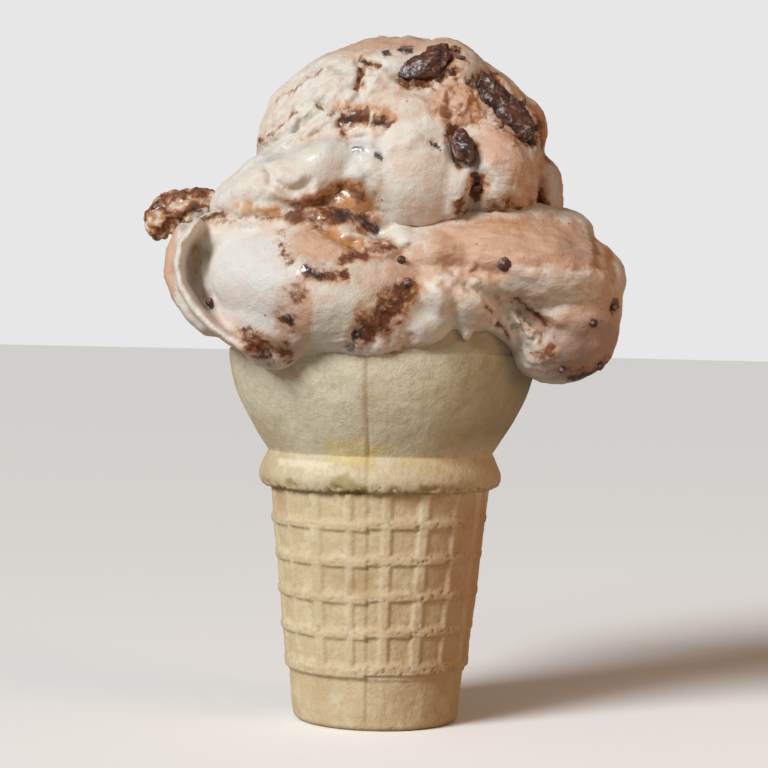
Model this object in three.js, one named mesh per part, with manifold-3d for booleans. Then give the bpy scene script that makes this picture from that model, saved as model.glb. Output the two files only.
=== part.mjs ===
// A filled ice cream cone: a moulded, flat-bottomed wafer cup, two scoops of ice
// cream pressed on it, a lump squeezed out at the side, and chocolate chunks set
// in the upper scoop. Millimetres, +Z up along the cup's axis, the origin at the
// centre of the cup's flat base, and the front towards -Y.
import * as THREE from "three";
import { mergeVertices } from "three/addons/utils/BufferGeometryUtils.js";
import Module from "manifold-3d";

const wasm = await Module();
wasm.setup();

// ---- Driving dimensions -------------------------------------------------------

const GAP = 0.3; // between two solids that touch
const DEGREE = Math.PI / 180;

const CUP = {
  height: 84,
  wall: 2.0,
  floor: 3.6,
  ribs: 18,
  seamAzimuth: -6 * DEGREE, // the mould's joint line, from the front towards -X
};
const FOOT = { radius: 17.3, edge: 0.8 };
const SKIRT = { height: 10.6, topRadius: 18.0 };
const LATTICE = {
  lowRadius: 18.5, // of the panels' floor, at the skirt
  highRadius: 22.5, // and at the collar
  rings: 5,
  firstRing: 13.2,
  pitch: 7.4,
  ringHalf: 1.1,
  ringRelief: 0.75,
  ribRelief: 0.5,
  ribHalfAngle: 2.7 * DEGREE,
  flankAngle: 1.2 * DEGREE,
};
const COLLAR = { bottom: 49, crest: 51.4, crestRadius: 25.3 };
const BOWL = { bottom: 56.2, neckRadius: 23.5, top: 77, radius: 32.0 };
const RIM = { radius: 31.6, edge: 0.5 };
const STEM = { topRadius: 19.4, bottomRadius: 15.2 }; // the hollow under the bowl
const POCKET = { radius: 14.2, depth: 1.2, ribHalf: 1.3 }; // in the cup's underside

// ---- From three.js geometry to solids and back -----------------------------------

function solidOf(geometry) {
  const bare = new THREE.BufferGeometry();
  const source = geometry.index ? geometry.toNonIndexed() : geometry;
  bare.setAttribute("position", source.getAttribute("position"));
  const merged = mergeVertices(bare, 1e-4);
  return new wasm.Manifold(
    new wasm.Mesh({
      numProp: 3,
      vertProperties: merged.attributes.position.array,
      triVerts: new Uint32Array(merged.index.array),
    }),
  );
}

function meshOf(name, solid, material) {
  const { vertProperties, triVerts } = solid.getMesh();
  const geometry = new THREE.BufferGeometry()
    .setAttribute("position", new THREE.BufferAttribute(vertProperties, 3))
    .setIndex(new THREE.BufferAttribute(triVerts, 1));
  const flat = geometry.toNonIndexed();
  flat.computeVertexNormals();
  const mesh = new THREE.Mesh(flat, material);
  mesh.name = name;
  return mesh;
}

const joined = (solids) => solids.reduce((all, next) => all.add(next));
const cut = (solid, tools) => tools.reduce((left, tool) => left.subtract(tool), solid);

// A solid of revolution about +Z from a profile of [radius, height] pairs that
// runs upwards and starts and ends on the axis.
function turned(profile, segments) {
  const points = profile.map(([r, z]) => new THREE.Vector2(r, z));
  return new THREE.LatheGeometry(points, segments).rotateX(Math.PI / 2);
}

// ---- The wafer cup ---------------------------------------------------------------

const share = (value, low, high) => (value - low) / (high - low);

function panelRadius(z) {
  const t = share(z, SKIRT.height, COLLAR.bottom);
  return THREE.MathUtils.lerp(LATTICE.lowRadius, LATTICE.highRadius, t);
}

function bowlRadius(z) {
  const t = Math.min(1, share(z, BOWL.bottom, BOWL.top));
  const swell = Math.sin((t * Math.PI) / 2);
  return THREE.MathUtils.lerp(BOWL.neckRadius, BOWL.radius, swell);
}

// Rows of the outer face from the foot up. A ribbed row stands out at the ribs.
function outerRows() {
  const rows = [
    { r: 0, z: 0 },
    { r: FOOT.radius - FOOT.edge, z: 0 },
    { r: FOOT.radius, z: FOOT.edge },
    { r: SKIRT.topRadius, z: SKIRT.height },
  ];
  for (let i = 0; i < LATTICE.rings; i++) {
    const z = LATTICE.firstRing + i * LATTICE.pitch;
    const crest = panelRadius(z) + LATTICE.ringRelief;
    const under = z - LATTICE.ringHalf - LATTICE.flankAngle * LATTICE.lowRadius;
    if (i > 0) rows.push({ r: panelRadius(under), z: under, ribbed: true });
    rows.push({ r: crest, z: z - LATTICE.ringHalf / 2 });
    rows.push({ r: crest, z: z + LATTICE.ringHalf / 3 });
    const over = z + LATTICE.ringHalf * 1.4;
    rows.push({ r: panelRadius(over), z: over, ribbed: true });
  }
  rows.push(
    { r: panelRadius(COLLAR.bottom), z: COLLAR.bottom, ribbed: true },
    { r: COLLAR.crestRadius - 0.6, z: COLLAR.crest - 1.6 },
    { r: COLLAR.crestRadius, z: COLLAR.crest },
  );
  const bowlSteps = 5;
  for (let i = 0; i <= bowlSteps; i++) {
    const z = THREE.MathUtils.lerp(BOWL.bottom, BOWL.top, i / bowlSteps);
    rows.push({ r: bowlRadius(z), z });
  }
  rows.push(
    { r: RIM.radius, z: BOWL.top + RIM.edge },
    { r: RIM.radius, z: CUP.height - RIM.edge },
    { r: RIM.radius - RIM.edge, z: CUP.height },
    { r: 0, z: CUP.height },
  );
  return rows;
}

// Four columns to a rib: its two edges, then the two feet of its flanks.
function ribColumn(index) {
  const pitch = (2 * Math.PI) / CUP.ribs;
  const rib = CUP.seamAzimuth + (Math.floor(index / 4) + 0.5) * pitch;
  const edge = LATTICE.ribHalfAngle;
  const foot = edge + LATTICE.flankAngle;
  const place = [-edge, edge, foot, pitch - foot][index % 4];
  return { angle: rib + place, onRib: index % 4 < 2 };
}

// The cup's outer form, solid right through, and larger all round by grow.
function cupForm(grow = 0) {
  const rows = outerRows();
  const columns = CUP.ribs * 4;
  const geometry = turned(
    rows.map(({ r, z }) => [r, z]),
    columns,
  );
  const position = geometry.getAttribute("position");
  for (let i = 0; i < position.count; i++) {
    const row = rows[i % rows.length];
    const column = Math.floor(i / rows.length) % columns;
    const { angle, onRib } = ribColumn(column);
    const relief = row.ribbed && onRib ? LATTICE.ribRelief : 0;
    const r = row.r > 0 ? row.r + relief + grow : 0;
    position.setX(i, r * Math.sin(angle));
    position.setY(i, -r * Math.cos(angle));
    if (row.z === CUP.height) position.setZ(i, row.z + grow);
  }
  return solidOf(geometry);
}

// What fills the cup: the bowl's and the stem's hollow, smaller all round by shrink.
function cupHollow(shrink = 0, top = CUP.height + 1) {
  const neck = BOWL.bottom + CUP.wall;
  const profile = [
    [0, CUP.floor + shrink],
    [STEM.bottomRadius - shrink, CUP.floor + shrink],
    [STEM.topRadius - shrink, neck + shrink],
  ];
  const steps = 5;
  for (let i = 0; i <= steps; i++) {
    const z = THREE.MathUtils.lerp(neck + 0.5, CUP.height - 1, i / steps);
    const wall = CUP.wall / Math.sin(THREE.MathUtils.lerp(55, 90, i / steps) * DEGREE);
    const r = Math.min(bowlRadius(z), RIM.radius) - wall - shrink;
    profile.push([r, z + shrink * (1 - i / steps)]);
  }
  const mouth = RIM.radius - CUP.wall - shrink;
  profile.push([mouth, top], [0, top]);
  return solidOf(turned(profile, 28));
}

// The four shallow pockets that leave a cross and a foot ring under the cup.
function undersidePockets() {
  return [0, 1, 2, 3].map((quarter) => {
    const { radius, ribHalf, depth } = POCKET;
    const start = Math.asin(ribHalf / radius);
    const shape = new THREE.Shape();
    shape.moveTo(ribHalf, ribHalf);
    shape.absarc(0, 0, radius, start, Math.PI / 2 - start, false);
    shape.closePath();
    const pocket = new THREE.ExtrudeGeometry(shape, {
      depth: depth + 1,
      bevelEnabled: false,
      curveSegments: 8,
    });
    return solidOf(pocket.translate(0, 0, -1).rotateZ((quarter * Math.PI) / 2));
  });
}

const waferCup = () => cut(cupForm(), [cupHollow(), ...undersidePockets()]);

// ---- Ice cream -------------------------------------------------------------------

// A rounded lobe, flattened and turned, with the gentle unevenness of scooped food.
// at and radii are in millimetres, and turn is Euler angles in degrees.
function lobe({ at, radii, turn = [0, 0, 0], detail = 20, phase = 0 }, grow = 0) {
  const geometry = new THREE.SphereGeometry(1, detail, Math.round(detail * 0.6));
  const position = geometry.getAttribute("position");
  const point = new THREE.Vector3();
  for (let i = 0; i < position.count; i++) {
    point.fromBufferAttribute(position, i).normalize();
    const wave =
      Math.sin(3.1 * point.x + phase) * Math.sin(2.7 * point.y + 2 * phase) +
      0.6 * Math.sin(4.3 * point.z + 3.1 * point.x + phase);
    point.multiplyScalar(1 + 0.03 * wave);
    point.multiply(new THREE.Vector3(...radii.map((r) => r + grow)));
    position.setXYZ(i, point.x, point.y, point.z);
  }
  const [x, y, z] = turn.map((angle) => angle * DEGREE);
  geometry.applyMatrix4(
    new THREE.Matrix4().makeRotationFromEuler(new THREE.Euler(x, y, z)),
  );
  return solidOf(geometry.translate(...at));
}

const lobes = (list, grow = 0) => joined(list.map((each) => lobe(each, grow)));

// Heights here are over the cup's base; the rim is at CUP.height.
const LOWER_LOBES = [
  // the mass that sits on the rim
  { at: [-6, 3, 93.8], radii: [35, 35, 16], turn: [0, 4, 0], detail: 18, phase: 0.4 },
  // the smooth front, which sags over the rim from the middle to the left
  { at: [-14, -17, 89.4], radii: [30, 24.5, 15.6], turn: [4, 7, 6], detail: 20, phase: 2.9 },
  // the dip between that and the roll, level with the rim
  { at: [14, -17, 88.8], radii: [17, 18, 8.5], detail: 12, phase: 0.8 },
  // the roll that runs from the middle round to the right
  { at: [23, -9, 96.3], radii: [27, 24, 11.5], turn: [0, 10, -12], detail: 18, phase: 1.7 },
  // the heavy lobe that hangs over the rim at the right
  { at: [35.5, -9, 86.3], radii: [13.6, 19, 15], turn: [0, -14, 0], detail: 16, phase: 2.6 },
  // the curl at the left, seen edge on
  { at: [-36, -12, 90.8], radii: [7.5, 16, 14], turn: [0, -30, -14], detail: 14, phase: 3.3 },
];
const UPPER_LOBES = [
  // the dome
  { at: [2.5, 2, 118.8], radii: [31, 30, 24.5], detail: 20, phase: 0.9 },
  // the smooth bulge at the front
  { at: [12, -13, 112.8], radii: [20, 19, 15], turn: [8, 0, 0], detail: 16, phase: 2.2 },
  // the fold that slopes down to the left
  { at: [-15, -8, 109.8], radii: [21, 22, 11], turn: [0, -14, 0], detail: 16, phase: 3.8 },
  // the shoulder at the right
  { at: [28, -2, 109.8], radii: [9.5, 15, 10], detail: 12, phase: 5.1 },
];
const SIDE_LUMP_LOBES = [
  { at: [-42, 1, 106.3], radii: [10.5, 8, 5.6], turn: [0, -14, 0], detail: 12, phase: 1.2 },
];

// Chunks of chocolate that lie in the face of the upper scoop.
const CHUNKS = {
  chunk_top: { at: [8, -20.5, 135.8], radii: [7, 4, 3.6], turn: [0, -18, 0], phase: 0.5 },
  chunk_side: { at: [23.5, -18, 126.8], radii: [11, 4, 3], turn: [0, 52, 14], phase: 1.9 },
  chunk_front: { at: [14.5, -30, 118.3], radii: [4.4, 2.4, 1.9], turn: [0, 55, 0], phase: 4.2 },
};

const chunkSolid = (chunk, grow = 0) => lobe({ ...chunk, detail: 10 }, grow);

function lowerScoop() {
  const heap = cut(lobes(LOWER_LOBES), [cupForm(GAP)]);
  return heap.add(cupHollow(GAP, CUP.height + 4));
}

function upperScoop() {
  const pockets = Object.values(CHUNKS).map((chunk) => chunkSolid(chunk, GAP));
  return cut(lobes(UPPER_LOBES), [lobes(LOWER_LOBES, GAP), ...pockets]);
}

function sideLump() {
  const neighbours = [lobes(LOWER_LOBES, GAP), lobes(UPPER_LOBES, GAP)];
  return cut(lobes(SIDE_LUMP_LOBES), neighbours);
}

// ---- Materials and the finished part -----------------------------------------------

const finish = (color, roughness) =>
  new THREE.MeshStandardMaterial({ color, roughness, metalness: 0 });

const wafer = finish(0xd2bd92, 0.85);
const cream = finish(0xe4d9cc, 0.45);
const swirled = finish(0xb98a6c, 0.5);
const chocolate = finish(0x4a2a20, 0.4);

const part = new THREE.Group();
part.add(
  meshOf("wafer_cup", waferCup(), wafer),
  meshOf("lower_scoop", lowerScoop(), cream),
  meshOf("upper_scoop", upperScoop(), cream),
  meshOf("side_lump", sideLump(), swirled),
);
for (const [name, chunk] of Object.entries(CHUNKS)) {
  part.add(meshOf(name, chunkSolid(chunk), chocolate));
}

export default part;
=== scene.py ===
# %% [markdown]
# # A filled ice cream cone
# A moulded wafer cup, two scoops of marbled ice cream that sag over its rim, a
# lump of fudge-streaked ice cream at the side and chunks of dark chocolate. The
# lesson starts from the plain engineering model and gives each of its parts the
# shape and finish of real food: the wafer by spinning a profile, the ice cream by
# fusing lobes and then modelling the skin as a sculptor would.

# %% Load the frame
import math

import bmesh
import bpy
import numpy as np
from mathutils import Euler, Matrix, Vector, noise


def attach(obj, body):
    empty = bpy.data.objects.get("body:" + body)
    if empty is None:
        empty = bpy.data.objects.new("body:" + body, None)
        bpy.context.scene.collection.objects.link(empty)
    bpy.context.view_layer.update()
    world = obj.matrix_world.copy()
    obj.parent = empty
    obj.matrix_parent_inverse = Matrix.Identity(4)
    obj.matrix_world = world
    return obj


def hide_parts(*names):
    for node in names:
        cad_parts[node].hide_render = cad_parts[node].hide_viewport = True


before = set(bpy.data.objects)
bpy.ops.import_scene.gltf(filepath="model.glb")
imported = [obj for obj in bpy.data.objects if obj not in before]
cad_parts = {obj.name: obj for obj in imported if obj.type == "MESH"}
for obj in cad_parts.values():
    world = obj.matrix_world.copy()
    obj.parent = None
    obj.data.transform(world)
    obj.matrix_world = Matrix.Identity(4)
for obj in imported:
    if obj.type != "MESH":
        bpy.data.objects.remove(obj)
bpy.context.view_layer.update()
MM = 0.001

# %% [markdown]
# ## Camera
# The cone is seen from straight in front at about the height of its rim, from
# about seven cup-widths away. A long lens at that distance keeps the perspective
# gentle, and a small roll tips the view.

# %% Camera
EYE_HEIGHT = 82.8
EYE_DISTANCE = 460.0
AIM_ASIDE = 0.3
AIM_HEIGHT = 70.3
LENS = 102.65
ROLL = math.radians(1.3)

camera_data = bpy.data.cameras.new("camera")
camera_data.lens = LENS
camera_data.clip_start = 0.01
camera = bpy.data.objects.new("camera", camera_data)
eye = Vector((0, -EYE_DISTANCE, EYE_HEIGHT)) * MM
aim = Vector((AIM_ASIDE, 0, AIM_HEIGHT)) * MM
turn = (aim - eye).to_track_quat("-Z", "Y").to_matrix().to_4x4()
camera.matrix_world = Matrix.Translation(eye) @ turn @ Matrix.Rotation(ROLL, 4, "Z")
bpy.context.scene.collection.objects.link(camera)
bpy.context.scene.camera = camera
print("camera at", [round(v / MM) for v in eye], "mm")

# %% [markdown]
# ## Light and floor
# Food is lit by one broad soft source, here a wide sun from the upper left, with
# a dim room around it so that the far side falls off into shade. A weak warm
# lamp at the right stands for light that comes back from wood and skin, and a
# small cool lamp nearly in front puts the glints on wet spots. The floor is
# plain, pale and much larger than the cone.

# %% Light and floor
ROOM_LIGHT = 0.18
ROOM_SEEN = 0.80
LIT_HEIGHT = 85


def add_light(name, kind, energy, colour, place, size):
    """A light at a place in millimetres, aimed at the middle of the cone."""
    data = bpy.data.lights.new(name, kind)
    data.energy = energy
    data.color = colour
    if kind == "SUN":
        data.angle = size
    else:
        data.shape = "DISK"
        data.size = size
    light = bpy.data.objects.new(name, data)
    spot = Vector(place) * MM
    target = Vector((0, 0, LIT_HEIGHT)) * MM
    light.location = spot
    light.rotation_euler = (target - spot).to_track_quat("-Z", "Y").to_euler()
    bpy.context.scene.collection.objects.link(light)


add_light("key", "SUN", 3.5, (0.92, 0.97, 1.0), (-660, -660, 620), math.radians(22))
add_light("warm_fill", "AREA", 0.62, (1.0, 0.58, 0.33), (430, -260, 190), 0.25)
add_light("gloss", "AREA", 0.22, (0.86, 0.93, 1.0), (-160, -330, 330), 0.08)

world = bpy.data.worlds.new("room")
bpy.context.scene.world = world
world.use_nodes = True
room = world.node_tree
room.nodes.clear()
world_out = room.nodes.new("ShaderNodeOutputWorld")
unlit = room.nodes.new("ShaderNodeBackground")
unlit.inputs["Color"].default_value = (1.0, 0.80, 0.62, 1)
unlit.inputs["Strength"].default_value = ROOM_LIGHT
seen = room.nodes.new("ShaderNodeBackground")
seen.inputs["Color"].default_value = (1, 1, 1, 1)
seen.inputs["Strength"].default_value = ROOM_SEEN
path = room.nodes.new("ShaderNodeLightPath")
choose = room.nodes.new("ShaderNodeMixShader")
room.links.new(path.outputs["Is Camera Ray"], choose.inputs[0])
room.links.new(unlit.outputs[0], choose.inputs[1])
room.links.new(seen.outputs[0], choose.inputs[2])
room.links.new(choose.outputs[0], world_out.inputs["Surface"])

scene = bpy.context.scene
scene.view_settings.view_transform = "Standard"
scene.view_settings.look = "None"

floor_mesh = bmesh.new()
bmesh.ops.create_circle(floor_mesh, cap_ends=True, segments=96, radius=6.0)
floor_data = bpy.data.meshes.new("floor")
floor_mesh.to_mesh(floor_data)
floor_mesh.free()
floor = bpy.data.objects.new("floor", floor_data)
scene.collection.objects.link(floor)
floor_paint = bpy.data.materials.new("floor_paint")
floor_paint.use_nodes = True
floor_shader = floor_paint.node_tree.nodes["Principled BSDF"]
floor_shader.inputs["Roughness"].default_value = 0.9
floor_tree = floor_paint.node_tree
floor_path = floor_tree.nodes.new("ShaderNodeLightPath")
floor_tone = floor_tree.nodes.new("ShaderNodeMix")
floor_tone.data_type = "RGBA"
floor_tone.inputs[6].default_value = (0.42, 0.36, 0.30, 1)
floor_tone.inputs[7].default_value = (0.97, 0.96, 0.95, 1)
floor_tree.links.new(floor_path.outputs["Is Camera Ray"], floor_tone.inputs[0])
floor_tree.links.new(floor_tone.outputs[2], floor_shader.inputs["Base Color"])
floor_data.materials.append(floor_paint)

# %% [markdown]
# ## Tools for modelling a skin
# Each food surface here is a dense skin whose points are moved a little, as a
# sculptor does: lumps from noise, and creases, ridges and torn lips drawn along
# short paths. These few helpers read and write all the points at once.

# %% Points, noise and easing


def points_of(obj):
    """The points of a mesh in millimetres, one row each."""
    flat = np.empty(len(obj.data.vertices) * 3, dtype=np.float32)
    obj.data.vertices.foreach_get("co", flat)
    return flat.reshape(-1, 3).astype(float) / MM


def normals_of(obj):
    """The direction in which the skin faces at each point."""
    flat = np.empty(len(obj.data.vertices) * 3, dtype=np.float32)
    obj.data.vertices.foreach_get("normal", flat)
    return flat.reshape(-1, 3).astype(float)


def set_points(obj, points):
    obj.data.vertices.foreach_set("co", (points * MM).astype(np.float32).ravel())
    obj.data.update()


def rough(points, size, seed=0.0, octaves=3):
    """Noise of about -1 to 1 whose lumps are about size millimetres across."""
    shift = np.array([17.3, 5.1, 9.7]) * (seed + 1)
    spots = (points / size + shift).tolist()
    return np.array([noise.fractal(spot, 0.7, 2.1, octaves) for spot in spots])


def ridged(points, size, seed=0.0, octaves=3):
    """Noise with sharp crests, of about -1 to 1."""
    return 1 - 2.6 * np.abs(rough(points, size, seed, octaves))


def ease(values, low, high):
    """0 below low, 1 above high, and smooth between."""
    t = np.clip((values - low) / (high - low), 0, 1)
    return t * t * (3 - 2 * t)


def paint(obj, name, values):
    """Stores a number for each point, which a material can read by name."""
    layer = obj.data.attributes.new(name, "FLOAT", "POINT")
    layer.data.foreach_set("value", np.clip(values, 0, 1).astype(np.float32))


def finish_piece(obj, material, slot_name, *nodes):
    """Smooth shading, a material, and the engineering parts that it stands for."""
    obj.data.polygons.foreach_set("use_smooth", [True] * len(obj.data.polygons))
    obj.data.materials.clear()
    obj.data.materials.append(material)
    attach(obj, "root")
    if nodes:
        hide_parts(*nodes)
    triangles = sum(len(p.vertices) - 2 for p in obj.data.polygons)
    print(obj.name, "triangles:", triangles)


def object_from(name, shape):
    """A Blender object at the origin from a finished bmesh."""
    data = bpy.data.meshes.new(name)
    shape.to_mesh(data)
    shape.free()
    obj = bpy.data.objects.new(name, data)
    scene.collection.objects.link(obj)
    return obj


# %% [markdown]
# ## The wafer cup: its turned form
# Such a cup is baked between iron moulds, so everything round about it comes from
# one profile: foot, skirt, tapering stem, collar, bowl and rim. A spin makes that
# in one step. The profile is dense in the stem, where the lattice will be raised.

# %% Spin the profile
COLUMNS = 360
SEAM = math.radians(-6)
RING_HEIGHTS = [13.2 + 7.4 * i for i in range(5)]
COLLAR_EDGE = 49.1
RIM_LINE = 77.0
RIM_TOP = 84.0


def stem_radius(z):
    return np.interp(z, [0, 0.25, 0.9, 2.5, 10.4, 10.8, 49], [16.4, 16.95, 17.3, 17.45, 18.1, 18.45, 22.5])


def bowl_radius(z):
    t = np.clip((z - 56.4) / (RIM_LINE - 56.4), 0, 1)
    return 23.55 + 8.45 * np.sin(t * math.pi / 2)


def cup_profile():
    """(radius, height) pairs in millimetres, from the underside's middle round to the floor inside."""
    rows = [(0, 0), (3, 0), (6, 0), (9, 0), (12, 0), (13.6, 0), (14.2, 0), (14.6, 0), (15.4, 0)]
    for z in np.arange(0, 10.4, 0.5):
        rows.append((stem_radius(z), z))
    for z in np.arange(10.5, COLLAR_EDGE, 0.29):
        rows.append((stem_radius(z), z))
    rows += [(24.3, 49.15), (24.7, 49.4), (24.95, 49.7), (25.15, 50.2), (25.28, 50.8), (25.33, 51.4)]
    rows += [(25.25, 52.0), (25.05, 52.6), (24.8, 53.2), (24.5, 53.9), (24.2, 54.6), (23.9, 55.3)]
    rows += [(23.62, 55.9), (23.5, 56.2)]
    for z in np.arange(56.5, RIM_LINE, 0.55):
        rows.append((bowl_radius(z), z))
    rows += [(31.98, RIM_LINE), (31.95, 77.15), (31.66, 77.25), (31.6, 77.5)]
    for z in np.arange(78.1, 83.5, 0.6):
        rows.append((31.6, z))
    rows += [(31.5, 83.7), (31.1, RIM_TOP), (30.2, RIM_TOP), (29.8, 83.6), (29.6, 81)]
    rows += [(29.7, 77), (28.9, 71), (27.0, 65), (24.0, 61.2), (21.6, 59.0), (19.4, 58.4)]
    rows += [(17.8, 35), (15.2, 5.0), (14.6, 3.6), (8, 3.6), (0, 3.6)]
    return rows


cup_shape = bmesh.new()
start = Matrix.Rotation(SEAM - math.pi / 2, 4, "Z")
chain = [cup_shape.verts.new(start @ Vector((r, 0, z)) * MM) for r, z in cup_profile()]
edges = [cup_shape.edges.new(pair) for pair in zip(chain, chain[1:])]
bmesh.ops.spin(
    cup_shape,
    geom=chain + edges,
    axis=(0, 0, 1),
    cent=(0, 0, 0),
    angle=2 * math.pi,
    steps=COLUMNS,
    use_merge=True,
)
bmesh.ops.remove_doubles(cup_shape, verts=cup_shape.verts, dist=1e-6)
bmesh.ops.recalc_face_normals(cup_shape, faces=cup_shape.faces)
cup = object_from("wafer", cup_shape)
print("wafer rows:", len(chain), "points:", len(cup.data.vertices))

# %% [markdown]
# ## The wafer cup: lattice, joint line and broken edge
# The mould presses rings and upright ribs out of the stem. The two halves of the
# mould never meet quite true: the left half stands a little proud and half a
# millimetre low, so each ring has a step at the joint line. The batter leaves
# pits in the rings and a crumbled edge under the collar.

# %% Raise the lattice
RING_RELIEF = 0.62
RIB_RELIEF = 0.5
RIBS = 18


def wafer_relief(points):
    """How far each point of the cup moves out, and the masks that colour it."""
    x, y, z = points.T
    radius = np.hypot(x, y)
    bearing = np.arctan2(x, -y)
    outside = (radius > np.where(z < 56.8, 16.2, bowl_radius(z) - 1.1)) & (z > 0.05)
    left_half = (np.sin(bearing - SEAM) < -1e-4).astype(float)
    height = z + 0.5 * left_half + 0.10 * rough(points, 9, 1)
    in_stem = outside & (z > 11.0) & (z < COLLAR_EDGE - 0.05)

    rings = np.zeros(len(points))
    for middle in RING_HEIGHTS:
        d = height - middle
        ring = ease(d, -1.6, -0.75) * (1 - ease(d, 0.1, 1.7))
        rings = np.maximum(rings, ring)
    low_band = (1 - ease(height, 13.1, 14.4)) * ease(height, 11.3, 11.9)
    rings = np.maximum(rings, low_band)
    rings *= 1 + 0.12 * rough(points, 3.0, 2)

    pitch = 2 * math.pi / RIBS
    place = (bearing - SEAM) / pitch - 0.5
    number = np.round(place)
    aside = np.abs(place - number) * pitch * radius
    width = 0.95 + 0.3 * np.sin(number * 2.4)
    ribs = 1 - ease(aside, width - 0.3, width + 0.35)
    ribs *= in_stem * (height > 12.8)
    raised = np.maximum(rings, ribs * RIB_RELIEF / RING_RELIEF) * in_stem
    return dict(
        raised=raised,
        outside=outside,
        left_half=left_half,
        bearing=bearing,
        radius=radius,
        rings=rings * in_stem,
        ribs=ribs,
    )


cup_points = points_of(cup)
cup_normals = normals_of(cup)
relief = wafer_relief(cup_points)
x, y, z = cup_points.T
bearing = relief["bearing"]
outside = relief["outside"]
to_seam = np.abs(np.arctan2(np.sin(bearing - SEAM), np.cos(bearing - SEAM)))
to_far_seam = math.pi - to_seam
seam_gap = np.minimum(to_seam, to_far_seam) * relief["radius"]


def patch(bearing_degrees, height, half_width, half_height):
    """A soft-edged ragged spot on the cup's face."""
    across = (bearing - math.radians(bearing_degrees)) * relief["radius"] / half_width
    up = (z - height) / half_height
    return 1 - ease(np.hypot(across, up) + 0.35 * rough(cup_points, 2.2, 7), 0.75, 1.0)


broken = np.maximum.reduce([
    patch(-17, 50.6, 3.6, 2.1),
    patch(-11, 49.6, 2.2, 1.1),
    patch(-47, 50.2, 1.8, 1.3),
    patch(22, 50.1, 2.4, 1.0),
])
ragged = ease(rough(cup_points, 1.6, 9), 0.05, 0.5) * ease(z, 48.7, 49.2) * (1 - ease(z, 49.7, 50.8))
pit_noise = rough(cup_points, 0.75, 4, 2)
pit_places = 0.25 + 0.75 * np.maximum(relief["rings"], ease(z, 48.4, 49.4) * (1 - ease(z, 50.0, 51.0)))
pit_places *= 0.45 + 0.55 * ease(np.sin(bearing - math.radians(10)), -0.6, 0.9)
pits = ease(pit_noise, 0.30, 0.62) * pit_places
unders = (z < 0.05) & (np.hypot(x, y) < 14.4)
cross = np.minimum(np.abs(x), np.abs(y)) < 1.4

push = RING_RELIEF * relief["raised"] + 0.2 * relief["left_half"] * ease(z, 1.5, 4)
push += 0.16 * rough(cup_points, 7, 3) + 0.05 * rough(cup_points, 1.4, 5)
push -= 0.42 * pits + broken * (0.35 + 0.30 * rough(cup_points, 0.9, 6, 2)) + 0.5 * ragged
push -= np.where(z > 54, 0.13, 0.06) * (1 - ease(seam_gap, 0.1, 0.4)) * (z > 1)
push *= outside
moved = cup_points + cup_normals * push[:, None]
moved[:, 2] = np.maximum(moved[:, 2], 0)
moved[unders & ~cross & (np.hypot(x, y) < 14.3), 2] = 1.2
set_points(cup, moved)
paint(cup, "raised", relief["raised"])
paint(cup, "broken", np.maximum(broken, 0.6 * ragged) * outside)
# Painted shadow: a thin dark line along the mould joint, where the proud left half shades the step.
paint(cup, "joint", (1 - ease(seam_gap, 0.1, 0.5)) * outside)
paint(cup, "pitted", pits * outside)
paint(cup, "bowl", ease(z, 54.6, 57.5))
# Painted shade: darkens the low bowl just above the collar, which faces down.
low_bowl = ease(z, 55.6, 57.5) * (1 - ease(z + 1.5 * rough(cup_points, 6, 12), 59, 67))
paint(cup, "low_bowl", low_bowl * (0.6 + 0.4 * rough(cup_points, 3, 13)) * outside)
right_half = ease(np.sin(bearing), -0.1, 0.5)
ragged_flour = ease(rough(cup_points, 5, 11), -0.2, 0.5)
floury = relief["ribs"] * (0.25 + 0.75 * right_half) * (0.4 + 0.6 * ragged_flour)
floury += 0.25 * relief["rings"] * ragged_flour
floury = np.maximum(floury, patch(-40, 54.4, 9.0, 0.9) * outside)
floury = np.maximum(floury, 0.5 * patch(-20, 53.0, 7.0, 1.2) * outside)
# Painted shade: browns the right side of the stem, standing for the warm shade on the side away from the key
# light.
right_side_shade = ease(np.sin(bearing) + 0.2 * rough(cup_points, 8, 14), 0.25, 1.0)
right_side_shade *= 0.25 + 0.75 * ease(z, 9, 14) * (1 - ease(z, 44, 50))
paint(cup, "right_side_shade", right_side_shade * outside)
# Painted shade: darkens the rim band under the overhanging ice cream and the right side of the bowl, where
# shade falls.
rim_shade = ease(z, RIM_LINE - 0.4, RIM_LINE + 0.2) * 0.75
bowl_side_shade = ease(z, 56, 62) * ease(np.sin(bearing) + 0.15 * rough(cup_points, 9, 15), 0.2, 0.95)
paint(cup, "rim_and_side_shade", np.maximum(rim_shade, bowl_side_shade) * outside)
paint(cup, "floury", floury)
paint(cup, "yellow", np.maximum(patch(-13, 57.2, 7.0, 3.6), 0.7 * patch(24, 55.4, 6.0, 1.6)) * outside)
paint(cup, "collar", ease(z, 48.8, 49.6) * (1 - ease(z, 54.6, 57.5)))
print("wafer relief, mm:", round(float(push.min()), 2), "to", round(float(push.max()), 2))

# %% [markdown]
# ## Wafer finish
# Baked batter is matt and dry, pale and floury where the iron pressed it and
# browner in the hollows. The mottling comes at three sizes: broad browned areas,
# blotches of a few millimetres and a fine grain. It also has pits too small to
# model, which go into a bump. Shade is painted in as well: a darker band under the
# overhanging ice cream, the right side of the bowl and of the stem, the low bowl
# just above the collar and a thin line along the mould joint.

# %% Material helpers


def new_material(name):
    material = bpy.data.materials.new(name)
    material.use_nodes = True
    return material, material.node_tree, material.node_tree.nodes["Principled BSDF"]


def add_node(tree, kind, **settings):
    """A shader node; a setting names a property or an input socket."""
    node = tree.nodes.new("ShaderNode" + kind)
    for key, value in settings.items():
        if hasattr(node, key):
            setattr(node, key, value)
        else:
            node.inputs[key].default_value = value
    return node


def attribute(tree, name):
    return add_node(tree, "Attribute", attribute_name=name).outputs["Fac"]


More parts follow.
